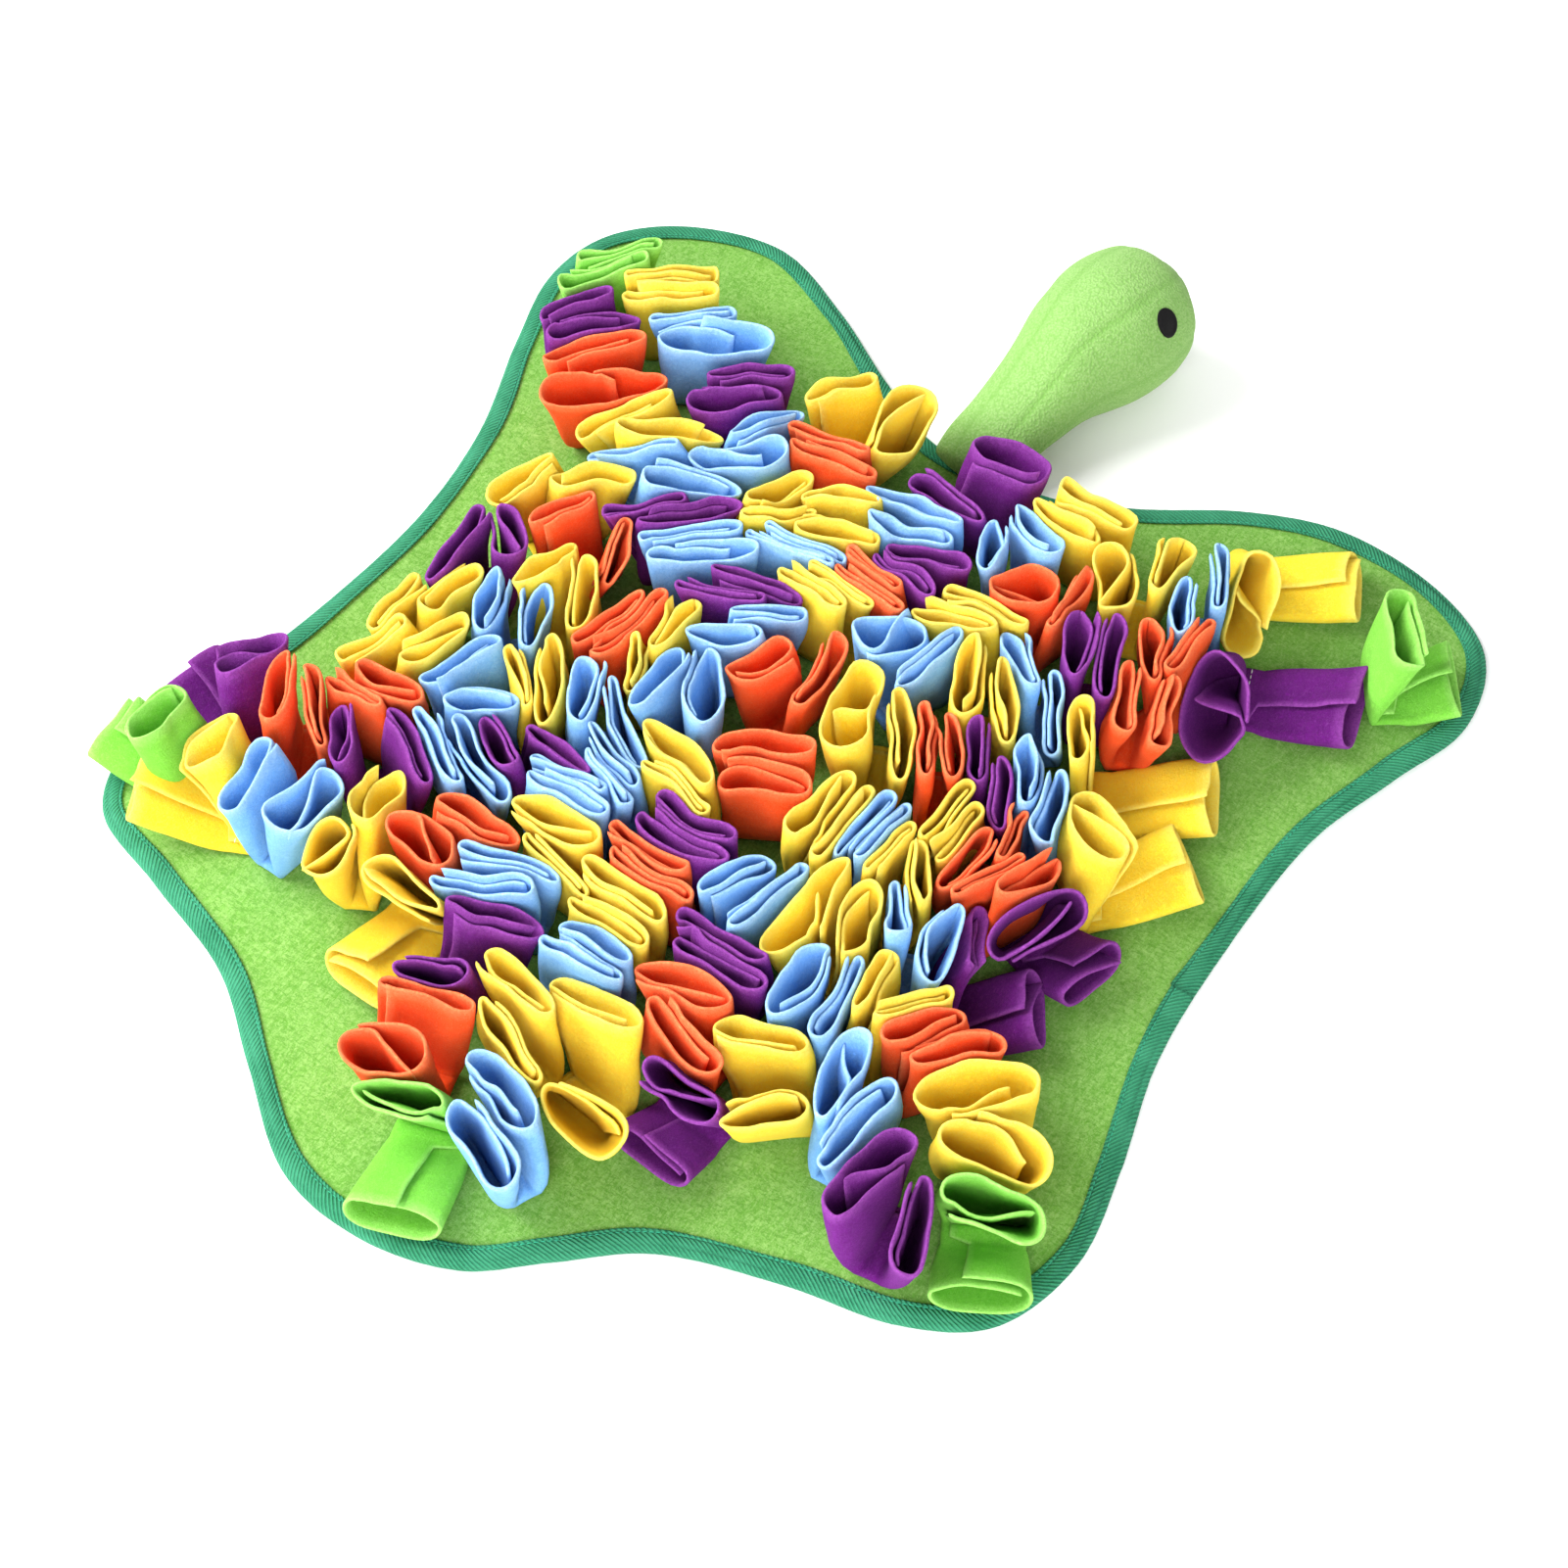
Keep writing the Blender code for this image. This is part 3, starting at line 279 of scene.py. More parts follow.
# The stuffed head and neck: middle of each section, half its width and half its height
HEAD_COLUMNS = 64
HEAD_ROWS = 56
HEAD = [
    (-11, 187, 14, 25, 7), (-9, 200, 19.2, 27, 12), (-6, 220, 24.5, 27, 17.8),
    (-2, 243, 30, 29, 26), (3, 265, 39.5, 33, 34), (8, 287, 43, 40.4, 41),
    (12.5, 304, 44.3, 44.6, 43.8), (15.5, 318, 44.5, 45, 44), (18.5, 332, 44.3, 42.8, 42.5),
    (21.3, 345, 44, 37, 37.5), (23.3, 355, 45, 24, 24),
]
SEAMS = (62.0, 118.0, 180.0, 0.0)
SEAM_DEPTH = 0.9
HEAD_LUMP = 0.8
LUMPS_FROM = 200.0
NOSE = ((0.45, 3.4), (0.8, 5.6), (0.97, 6.4))
NOSE_LENGTH = 6.6
EYE = (7.5, 9.5)
EYE_SECTION = 7
EYE_ANGLE = 22.5
HEAD_ROLL = 14.5
EYE_POINTS = 32

# The camera and lights, in metres, about the place where the sizes above start
CAMERA_FIELD = 28.97
CAMERA_AT = (0.570, -0.873, 1.371)
CAMERA_AIM = (0.0206, -0.0534, 0)
CAMERA_RIGHT = (0.831, 0.557)
LIGHTS = (
    ("key", (-1.7, -0.5, 1.5), (0, 0, 0), 1.9, 108),
    ("fill", (0.9, -1.9, 1.2), (0, 0, 0), 1.8, 70),
)

# ---- colours: lit, in shade, and pale fibres, which also paint the felt's rim highlight ----

COLOURS = {
    "yellow": ("FFE036", "FFC408", "FFF07C"),
    "orange": ("FF5418", "F23C08", "FF9464"),
    "blue": ("82C0FC", "4E94E0", "BCE0FF"),
    "purple": ("6B167C", "420750", "A052AE"),
    "green": ("84D648", "60B62C", "B2EE80"),
}
MAT_COLOURS = ("75A94A", "4D8528", "9BC070")
TAPE_COLOURS = ("287E58", "0B4630", "52AC86")
HEAD_COLOURS = ("8AB167", "6A9946", "ABCB8C")
EYE_COLOURS = ("0F0E10", "060506")


def linear(hex_colour):
    """An sRGB hex colour as Blender's linear RGBA."""
    parts = [int(hex_colour[i : i + 2], 16) / 255 for i in (0, 2, 4)]
    return [((c + 0.055) / 1.055) ** 2.4 if c > 0.04 else c / 12.92 for c in parts] + [1]


def darker(colour, share):
    return [c * share for c in colour[:3]] + [1]


# ---- materials ----


class Recipe:
    """A cloth material's nodes, laid down one over another."""

    def __init__(self, name, colours=()):
        self.made = bpy.data.materials.new(name)
        self.made.use_nodes = True
        self.tree = self.made.node_tree
        self.shader = self.tree.nodes["Principled BSDF"]
        self.place = self.node("ShaderNodeTexCoord").outputs["Object"]
        self.tones = [linear(c) for c in colours]
        self.colour = self.tones[0] if colours else None
        self.normal = None

    def node(self, kind, inputs=None, **settings):
        """A new node. Each input is a socket to link, or a value to set."""
        made = self.tree.nodes.new(kind)
        for name, value in settings.items():
            setattr(made, name, value)
        for name, value in (inputs or {}).items():
            if isinstance(value, bpy.types.NodeSocket):
                self.tree.links.new(value, made.inputs[name])
            else:
                made.inputs[name].default_value = value
        return made

    def mapped(self, size, source=None):
        """Coordinates in which one unit is size mm, or sizes along X, Y and Z."""
        sizes = size if hasattr(size, "__len__") else (size,) * 3
        scale = [1 / (s * MM) for s in sizes]
        inputs = {"Vector": source or self.place, "Scale": scale}
        return self.node("ShaderNodeMapping", inputs).outputs[0]

    def ranged(self, value, low, high, to_low=0.0, to_high=1.0):
        inputs = {"Value": value, "From Min": low, "From Max": high, "To Min": to_low, "To Max": to_high}
        return self.node("ShaderNodeMapRange", inputs).outputs[0]

    def speckle(self, size, detail=2.0, rough=0.6, distort=0.0, span=None):
        """Noise whose features are about size mm, with this span of it stretched to 0 and 1."""
        inputs = {"Vector": self.mapped(size), "Scale": 1.0, "Detail": detail,
                  "Roughness": rough, "Distortion": distort}
        grain = self.node("ShaderNodeTexNoise", inputs).outputs["Fac"]
        return self.ranged(grain, *span) if span else grain

    def value(self, name):
        """A number that the mesh carries on its points."""
        return self.node("ShaderNodeAttribute", attribute_name=name).outputs["Fac"]

    def times(self, one, two):
        return self.node("ShaderNodeMath", {0: one, 1: two}, operation="MULTIPLY").outputs[0]

    def lay(self, factor, tone, under=None):
        """Lays a tone over the colour so far, or over another one, by this factor."""
        made = self.tree.nodes.new("ShaderNodeMix")
        made.data_type = "RGBA"
        under = self.colour if under is None else under
        for index, value in ((0, factor), (6, under), (7, tone)):
            if isinstance(value, bpy.types.NodeSocket):
                self.tree.links.new(value, made.inputs[index])
            else:
                made.inputs[index].default_value = value
        self.colour = made.outputs[2]

    def bump(self, height, strength, distance):
        """Adds a bump of this many mm."""
        inputs = {"Height": height, "Strength": strength, "Distance": distance * MM}
        if self.normal is not None:
            inputs["Normal"] = self.normal
        self.normal = self.node("ShaderNodeBump", inputs).outputs[0]

    def finish(self, roughness=1.0, sheen=0.3, tint="FFFFFF"):
        self.tree.links.new(self.colour, self.shader.inputs["Base Color"])
        self.tree.links.new(self.normal, self.shader.inputs["Normal"])
        for name, value in (("Roughness", roughness), ("Specular IOR Level", 0.15), ("Sheen Weight", sheen),
                            ("Sheen Roughness", 0.5), ("Sheen Tint", linear(tint))):
            self.shader.inputs[name].default_value = value
        return self.made


def felt_material(name, colours):
    """Soft needled felt: tangled fibres, faint mottling, and a painted highlight along the fuzzy cut edge.
    """
    full_name = f"soft_{name}_felt"
    if full_name in bpy.data.materials:
        return bpy.data.materials[full_name]
    felt = Recipe(full_name, colours)
    _, shade, pale = felt.tones
    blotch = felt.speckle(12, 3, 0.55, span=(0.35, 0.7))
    fuzz = felt.speckle(1.9, 4, 0.8, 1.2, span=(0.4, 0.62))
    strands = felt.speckle((1.0, 3.4, 1.4), 3, 0.7, 2.5, span=(0.5, 0.7))
    felt.lay(felt.times(blotch, 0.3), shade)
    felt.lay(felt.times(fuzz, 0.5), shade)
    felt.lay(felt.times(strands, 0.4), pale)
    # painted highlight where light catches the fuzzy cut edges: the pale tone laid over the rims
    felt.lay(felt.times(felt.value("cut_edge"), felt.ranged(fuzz, 0, 1, 0.7, 0.3)), pale)
    felt.bump(fuzz, 0.7, 0.5)
    felt.bump(strands, 0.6, 0.25)
    return felt.finish(tint=colours[2])


def mat_material():
    """The mat's thick needled felt: short streaky fibres, worn a little uneven."""
    felt = Recipe("thick_mat_felt", MAT_COLOURS)
    _, shade, pale = felt.tones
    blotch = felt.speckle(34, 3, 0.6, span=(0.38, 0.62))
    streak = felt.speckle((1.4, 4.6, 2.0), 4, 0.7, 1.0, span=(0.4, 0.6))
    cross = felt.speckle((3.8, 1.5, 2.0), 4, 0.7, 1.0, span=(0.45, 0.62))
    fine = felt.speckle(1.4, 3, 0.75, 1.5, span=(0.38, 0.66))
    felt.lay(felt.times(blotch, 0.4), shade)
    felt.lay(felt.times(streak, 0.7), pale)
    felt.lay(felt.times(cross, 0.7), shade)
    felt.lay(felt.times(fine, 0.45), shade)
    felt.bump(streak, 0.5, 0.4)
    felt.bump(fine, 0.4, 0.25)
    return felt.finish(tint=MAT_COLOURS[2])


def tape_material():
    """Woven twill tape: fine slanting ribs, from the tape's own flat coordinates in mm, with painted shade
    between the ribs, in the sewn groove and at the lapped end.
    """
    tape = Recipe("twill_tape", TAPE_COLOURS)
    lit, shade, pale = tape.tones
    flat = tape.node("ShaderNodeUVMap", uv_map="tape_mm").outputs[0]
    turned = tape.node("ShaderNodeMapping", {"Vector": flat, "Rotation": (0, 0, math.radians(48))})
    waves = {"Vector": turned.outputs[0], "Scale": WAVE / RIB, "Distortion": 0.6, "Detail": 1.5,
             "Detail Scale": 2.0}
    rib = tape.node("ShaderNodeTexWave", waves, bands_direction="X").outputs["Fac"]
    fuzz = tape.speckle(0.8, 3, 0.7, 0.8, span=(0.35, 0.7))
    uneven = tape.speckle(20, 2, 0.5, span=(0.35, 0.7))
    # painted shade in the troughs between the twill ribs, the lit tone on their crowns
    tape.lay(tape.ranged(rib, 0, 1, 0.15, 1.0), lit, under=shade)
    tape.lay(tape.times(fuzz, 0.3), pale)
    tape.lay(tape.times(uneven, 0.25), pale)
    # painted shade in the sewn groove, and a painted shadow line at the step of the lapped end
    tape.lay(tape.times(tape.value("furrow"), 0.75), darker(shade, 0.35))
    tape.bump(rib, 1.0, 0.6)
    tape.bump(fuzz, 0.25, 0.15)
    return tape.finish(roughness=0.8, sheen=0.25, tint=TAPE_COLOURS[2])


def fleece_material():
    """Short fleece with a nubby face: small packed loops, with painted shade between them."""
    fleece = Recipe("nubby_fleece", HEAD_COLOURS)
    lit, shade, pale = fleece.tones
    wander = fleece.node("ShaderNodeTexNoise", {"Vector": fleece.mapped(3), "Scale": 1.0})
    shift = fleece.node("ShaderNodeVectorMath", {0: wander.outputs["Color"], "Scale": 0.0009},
                        operation="SCALE")
    bent = fleece.node("ShaderNodeVectorMath", {0: fleece.place, 1: shift.outputs[0]})
    loops = {"Vector": fleece.mapped(1.5, bent.outputs[0]), "Scale": 1.0, "Smoothness": 0.5}
    cells = fleece.node("ShaderNodeTexVoronoi", loops, feature="SMOOTH_F1")
    nub = fleece.ranged(cells.outputs["Distance"], 0.1, 0.75, 1.0, 0.0)
    fuzz = fleece.speckle(0.7, 3, 0.7, 1.0, span=(0.35, 0.7))
    blotch = fleece.speckle(9, 3, 0.6, span=(0.35, 0.7))
    # painted shade between the loops, the lit tone on their tops
    fleece.lay(nub, lit, under=shade)
    fleece.lay(fleece.times(fuzz, 0.3), pale)
    fleece.lay(fleece.times(blotch, 0.22), shade)
    # painted shade along the head's seam creases
    fleece.lay(fleece.times(fleece.value("groove"), 0.55), shade)
    fleece.bump(nub, 0.7, 0.6)
    fleece.bump(fuzz, 0.4, 0.25)
    return fleece.finish(sheen=0.45, tint=HEAD_COLOURS[2])


def thread_material(name, colour):
    """Twisted sewing thread."""
    thread = Recipe(name, [colour])
    ply = thread.speckle(0.35, 2, 0.6)
    thread.lay(ply, darker(thread.colour, 0.6))
    thread.bump(ply, 0.5, 0.1)
    return thread.finish(roughness=0.6, sheen=0.2)


def eye_material():
    """Black satin-stitch embroidery: fine close threads, painted lighter along each thread and darker
    between them, with a soft shine.
    """
    if "eye_embroidery" in bpy.data.materials:
        return bpy.data.materials["eye_embroidery"]
    thread = Recipe("eye_embroidery", EYE_COLOURS)
    lit, dark = thread.tones
    waves = {"Vector": thread.mapped((9, 0.55, 9)), "Scale": 0.32, "Distortion": 0.8, "Detail": 1.0}
    line = thread.node("ShaderNodeTexWave", waves, bands_direction="Y").outputs["Fac"]
    # painted highlight along each thread and painted shade between them
    thread.lay(line, lit, under=dark)
    thread.bump(line, 0.6, 0.2)
    return thread.finish(roughness=0.6, sheen=0.0)


def floor_material():
    """Pale studio paper."""
    paper = Recipe("studio_paper", ["FFFFFF"])
    grain = paper.speckle(3, 3, 0.6)
    paper.lay(paper.times(grain, 0.15), linear("F6F6F6"))
    paper.bump(grain, 0.05, 0.1)
    return paper.finish(roughness=0.9, sheen=0.0)


# ---- meshes ----


def add_piece(name, points, faces, material, smooth=True):
    """A mesh object at the origin, from points in the frame's mm."""
    mesh = bpy.data.meshes.new(name)
    places = (np.asarray(points, float) - [CENTRE[0], CENTRE[1], 0]) * MM
    mesh.from_pydata(places.tolist(), [], faces)
    mesh.update()
    mesh.polygons.foreach_set("use_smooth", [smooth] * len(mesh.polygons))
    mesh.materials.append(material)
    obj = bpy.data.objects.new(name, mesh)
    bpy.context.scene.collection.objects.link(obj)
    face_outward(mesh)
    return obj


def face_outward(mesh):
    shape = bmesh.new()
    shape.from_mesh(mesh)
    if shape.calc_volume(signed=True) < 0:
        bmesh.ops.reverse_faces(shape, faces=shape.faces)
        shape.to_mesh(mesh)
    shape.free()


def point_values(obj, name, values):
    """A number on each point, which a material reads by name."""
    made = obj.data.attributes.new(name, "FLOAT", "POINT")
    made.data.foreach_set("value", np.asarray(values, np.float32))


def joined(parts):
    """Points and faces of several (points, faces) in one."""
    points = []
    faces = []
    for more, theirs in parts:
        start = len(points)
        points.extend(map(tuple, more))
        faces.extend(tuple(i + start for i in face) for face in theirs)
    return points, faces


def grid_faces(rows, columns, start=0, closed=False):
    """Faces over a grid of points. A closed grid's last column joins its first."""
    faces = []
    for i in range(rows - 1):
        for j in range(columns - (not closed)):
            k = (j + 1) % columns
            a, b = start + i * columns, start + (i + 1) * columns
            faces.append((a + j, a + k, b + k, b + j))
    return faces


def shell(middle, thickness):
    """A sheet of this thickness about a grid of points, with rounded edges.

    Returns points, faces, and how near each point is to a cut edge, from 0 to 1, which sets the felt's
    painted rim highlight.
    """
    rows, columns = middle.shape[:2]
    along = np.gradient(middle, axis=0)
    across = np.gradient(middle, axis=1)
    normal = np.cross(along, across)
    normal /= np.linalg.norm(normal, axis=2)[..., None] + 1e-12
    half = np.full((rows, columns), thickness / 2)
    half[[0, -1]] *= EDGE_PINCH
    half[:, [0, -1]] *= EDGE_PINCH
    near = np.zeros((rows, columns))
    for value, ends in ((NEAR_CUT, [1, -2]), (1, [0, -1])):
        near[ends] = value
        near[:, ends] = np.maximum(near[:, ends], value)
    top = middle + normal * half[..., None]
    bottom = middle - normal * half[..., None]
    count = rows * columns
    faces = grid_faces(rows, columns)
    faces += [tuple(i + count for i in reversed(face)) for face in faces]
    border = [(0, j) for j in range(columns)]
    border += [(i, columns - 1) for i in range(1, rows)]
    border += [(rows - 1, j) for j in range(columns - 2, -1, -1)]
    border += [(i, 0) for i in range(rows - 2, 0, -1)]
    rim = []
    for i, j in border:
        push = np.zeros(3)
        inner = (min(max(i, 1), rows - 2), j), (i, min(max(j, 1), columns - 2))
        for other in inner:
            step = middle[i, j] - middle[other]
            push += step / (np.linalg.norm(step) + 1e-9)
        rim.append(middle[i, j] + push * thickness * EDGE_PUSH)
    edge = [i * columns + j for i, j in border]
    start = 2 * count
    for n in range(len(edge)):
        m = (n + 1) % len(edge)
        faces.append((edge[m], edge[n], start + n, start + m))
        faces.append((start + m, start + n, edge[n] + count, edge[m] + count))
    points = np.concatenate([top.reshape(-1, 3), bottom.reshape(-1, 3), rim])
    values = np.concatenate([near.ravel(), near.ravel(), np.ones(len(rim))])
    return points, faces, values


# ---- the mat and its binding ----


def smooth_edge(step):
    """Evenly spaced points along the smooth closed curve through OUTLINE."""
    knots = np.array(OUTLINE, float)
    fine = []
    for i in range(len(knots)):
        a, b, c, d = (knots[(i + k) % len(knots)] for k in (-1, 0, 1, 2))
        for t in np.linspace(0, 1, 24, endpoint=False):
            fine.append(
                0.5 * (2 * b + (c - a) * t + (2 * a - 5 * b + 4 * c - d) * t**2
                       + (3 * b - a - 3 * c + d) * t**3)
            )
    fine = np.array(fine + fine[:1])
    run = np.r_[0, np.cumsum(np.hypot(*np.diff(fine, axis=0).T))]
    at = np.linspace(0, run[-1], round(run[-1] / step), endpoint=False)
    return np.column_stack([np.interp(at, run, fine[:, k]) for k in (0, 1)]), run[-1]


def outward(edge):
    """The outward unit normal at each point of a clockwise closed edge."""
    along = np.roll(edge, -1, axis=0) - np.roll(edge, 1, axis=0)
    along /= np.hypot(*along.T)[:, None]
    return np.column_stack([-along[:, 1], along[:, 0]])


def waviness(x, y, size, seed):
    """Smooth noise in space, from -1 to 1, whose features are about size mm."""
    return noise.noise(Vector((x / size, y / size, seed)))


def top_relief(x, y):
    """How far the mat's top rises or dips at a place, in mm."""
    return 0.35 * waviness(x, y, 60, 1.5) + 0.2 * waviness(x, y, 17, 4.5)


def make_mat():
    """The felt mat: one thick sheet with a gently uneven face, ending inside the binding."""
    edge, _ = smooth_edge(8)
    border = edge - outward(edge) * (TAPE + GAP)
    points = [Vector(p) for p in border]
    low, high = border.min(axis=0), border.max(axis=0)
    inner = edge - outward(edge) * 9
    for x in np.arange(low[0], high[0], MAT_STEP):
        for y in np.arange(low[1], high[1], MAT_STEP):
            if inside(inner, (x, y)):
                points.append(Vector((x, y)))
    count = len(border)
    lines = [(i, (i + 1) % count) for i in range(count)]
    flat, _, faces, *_ = delaunay_2d_cdt(points, lines, [], 1, 0.01)
    top = [(p.x, p.y, MAT_TOP + (0 if i < count else min(top_relief(p.x, p.y), GAP * 0.6)))
           for i, p in enumerate(flat)]
    bottom = [(p.x, p.y, MAT_BOTTOM) for p in flat]
    under = len(flat)
    faces = [tuple(face) for face in faces]
    faces += [tuple(i + under for i in reversed(face)) for face in faces]
    faces += [((i + 1) % count, i, i + under, (i + 1) % count + under) for i in range(count)]
    obj = add_piece("mat_sheet", top + bottom, faces, mat_material())
    for face in obj.data.polygons:
        face.use_smooth = abs(face.normal.z) > 0.5
    return obj


def inside(loop, place):
    """Whether a place lies inside a closed loop of points."""
    x, y = place
    ahead = np.roll(loop, -1, axis=0)
    spans = (loop[:, 1] > y) != (ahead[:, 1] > y)
    rise = np.where(spans, ahead[:, 1] - loop[:, 1], 1)
    cross = loop[:, 0] + (y - loop[:, 1]) * (ahead[:, 0] - loop[:, 0]) / rise
    return bool(np.count_nonzero(spans & (cross > x)) % 2)


def tape_section(width, raise_top):
    """The folded tape's middle surface, from its lower inner edge round to its upper one.

    Points are how far in from the edge and how high, in mm. The upper leg has a sewn groove
    near its inner edge, and a narrow lip beyond it.
    """
    half = TAPE / 2
    high = MAT_TOP + GAP + half + raise_top
    middle = (half + high) / 2
    bow = (high - half) / 2
    path = [(width, half), (width * 0.7, half), (width * 0.4, half), (bow * 1.4, half)]
    for turn in np.linspace(-80, 80, 9):
        t = math.radians(turn)
        path.append((half + bow * (1 - math.cos(t)), middle + bow * math.sin(t)))
    path += [
        (bow * 1.5, high + 0.1), (width * 0.36, high + 0.35), (width * 0.56, high + 0.38),
        (width * 0.7, high + 0.3), (width - GROOVE - 0.6, high + 0.16), (width - GROOVE, high - 0.2),
        (width - GROOVE + 0.5, high + 0.24), (width - 0.7, high + 0.36), (width, high + 0.12),
    ]
    return np.array(path)


def offset_path(path, thickness):
    """A closed outline of this thickness round an open path in a plane."""
    runs = np.diff(path, axis=0)
    runs /= np.hypot(*runs.T)[:, None]
    square = np.column_stack([-runs[:, 1], runs[:, 0]])
    normal = np.vstack([square[:1], square]) + np.vstack([square, square[-1:]])
    normal /= np.hypot(*normal.T)[:, None]
    return np.vstack([path + normal * thickness / 2, (path - normal * thickness / 2)[::-1]])


def make_binding():
    """Twill tape folded round the whole edge, sewn down, its two ends lapped at one side."""
    edge, length = smooth_edge(TAPE_STEP)
    normal = outward(edge)
    step = length / len(edge)
    places = np.arange(len(edge)) * step
    lap = places[np.argmin(np.hypot(*(edge - LAP_PLACE).T))]
    extra = lap + np.array([-0.25, 0.0, 0.2, 1.5])
    at = np.sort(np.concatenate([places[np.abs(places - lap) > 1], extra]))
    loops = []
    across = None
    for place in at:
        where = place / step
        i = int(where) % len(edge)
        j = (i + 1) % len(edge)
        share = where - int(where)
        centre = edge[i] * (1 - share) + edge[j] * share
        out = normal[i] * (1 - share) + normal[j] * share
        past = lap - place
        raised = LAP_HEIGHT * max(0.0, 1 - past / LAP_LENGTH) if past >= 0 else 0.0
        wide = BINDING_WIDTH + 0.9 * math.sin(place / 23) * math.sin(place / 61) + raised
        path = tape_section(wide, raised)
        outline = offset_path(path, TAPE)
        fray = 0.12 * waviness(place, 0, 2.5, 8.5)
        loops.append([(*(centre - out * (inset + fray)), z) for inset, z in outline])
        if across is None:
            run = np.r_[0, np.cumsum(np.hypot(*np.diff(path, axis=0).T))]
            across = np.concatenate([run, run[::-1]])
    columns = len(loops[0])
    points = [p for loop in loops for p in loop]
    faces = grid_faces(len(loops), columns, closed=True)
    last = (len(loops) - 1) * columns
    faces += [(last + j, last + (j + 1) % columns, (j + 1) % columns, j) for j in range(columns)]
    obj = add_piece("tape_binding", points, faces, tape_material())
    # painted shade along the sewn groove's column, and a painted shadow line at the step where the tape's
    # end laps over
    furrow = np.zeros(columns)
    furrow[columns // 2 - 4] = 1
    cut = np.array([math.exp(-abs(place - lap - 0.1) / 0.4) for place in at])
    point_values(obj, "furrow", np.maximum(furrow[None], cut[:, None]).ravel())
    flat = obj.data.uv_layers.new(name="tape_mm")
    for face in obj.data.polygons:
        rows = [i // columns for i in face.vertices]
        for loop, vertex in zip(face.loop_indices, face.vertices):
            row = vertex // columns
            along = at[row] + (length if row == 0 and max(rows) > 1 else 0)
            flat.data[loop].uv = (along, across[vertex % columns])
    stitches = tape_stitches(edge, normal)
    return obj, stitches


def stitch(start, end, thick, bow=0.3):
    """Points and faces of one stitch: a short plump thread that arches between its holes."""
    start, end = np.array(start, float), np.array(end, float)
    lead = end - start
    side = np.cross(lead, [0, 0, 1])
    side /= np.linalg.norm(side) + 1e-9
    up = np.cross(side, lead)
    up /= np.linalg.norm(up) + 1e-9
    points = []
    shares = (0, 0.2, 0.5, 0.8, 1)
    for share in shares:
        arch = math.sin(math.pi * share)
        middle = start + lead * share + up * (bow * arch - thick * 0.3)
        round_by = thick / 2 * (0.6 + 0.4 * arch)
        for k in range(6):
            t = math.pi * k / 3
            points.append(middle + (side * math.cos(t) + up * math.sin(t)) * round_by)
    faces = grid_faces(len(shares), 6, closed=True)
    faces += [tuple(reversed(range(6))), tuple(range(24, 30))]
    return points, faces


def tape_stitches(edge, normal):
    """The machine stitches that hold the tape, in its groove."""
    height = MAT_TOP + GAP + TAPE - 0.02
    parts = []
    line = edge - normal * (BINDING_WIDTH - GROOVE)
    run = np.r_[0, np.cumsum(np.hypot(*np.diff(np.vstack([line, line[:1]]), axis=0).T))]
    closed = np.vstack([line, line[:1]])
    for place in np.arange(0, run[-1] - STITCH_PITCH, STITCH_PITCH):
        ends = [[np.interp(place + gap, run, closed[:, k]) for k in (0, 1)]
                for gap in (0.2, STITCH_PITCH - 0.3)]
        parts.append(stitch((*ends[0], height), (*ends[1], height), THREAD))
    points, faces = joined(parts)
    return add_piece("tape_stitches", points, faces, thread_material("green_thread", "2FA882"))


# ---- the felt pockets ----


def along(degrees):
    return np.array([math.cos(math.radians(degrees)), math.sin(math.radians(degrees))])


class Half:
    """One half of a pocket: where its mouth is, which way it runs and how far it gapes."""

    def __init__(self, x, y, turn, long, gape, lies):
        self.middle = np.array([x, y])
        self.turn = turn
        self.radius = max(gape / 2, LYING_RADIUS if lies else FLATTEST + FELT / 2)
        self.reach = max(long / 2 - self.radius, 3.0)
        self.lies = lies
        self.line = self.middle + ENDS[:, None] * self.reach * along(turn)


class Pocket:
    def __init__(self, row):
        values = dict(zip(COLUMNS.split(), row.split()))
        self.name = values["name"]
        self.colour = values["colour"]
        a = [float(values["a" + part]) for part in MOUTH]
        b = [float(values["b" + part]) for part in MOUTH]
        self.halves = [Half(*a, False), Half(*b, self.name in LYING)]
        self.place_seam()

    def place_seam(self):
        """The seam's middle and direction: square to the way the halves part, and like them."""
        one, two = self.halves
        split = one.middle - two.middle
        if two.lies:
            self.turn = two.turn
            out = along(two.turn + 90)
            out *= np.sign(out @ -split)
            self.lying = min(max(-split @ out + 12, LYING_LENGTHS[0]), LYING_LENGTHS[1])
            self.seam = two.middle - out * self.lying
        else:
            square = math.degrees(math.atan2(split[1], split[0])) + 90
            lean = along(2 * one.turn) + along(2 * two.turn)
            lean += along(2 * square) * np.hypot(*split) / SPREAD
            self.turn = math.degrees(math.atan2(lean[1], lean[0])) / 2
            self.seam = (one.middle + two.middle) / 2
        across = along(self.turn + 90)
        sign = np.sign(across @ split) or 1.0
        self.signs = (sign, -sign)

    def out(self, half):
        """The level direction in which a half leaves the seam."""
        return along(self.turn + 90) * self.signs[self.halves.index(half)]

    def root(self, half):
        """The ends and middle of the line where a half turns up from the seam."""
        return self.seam + self.out(half) * ROOT_OFFSET + ENDS[:, None] * ROOT_REACH * along(self.turn)


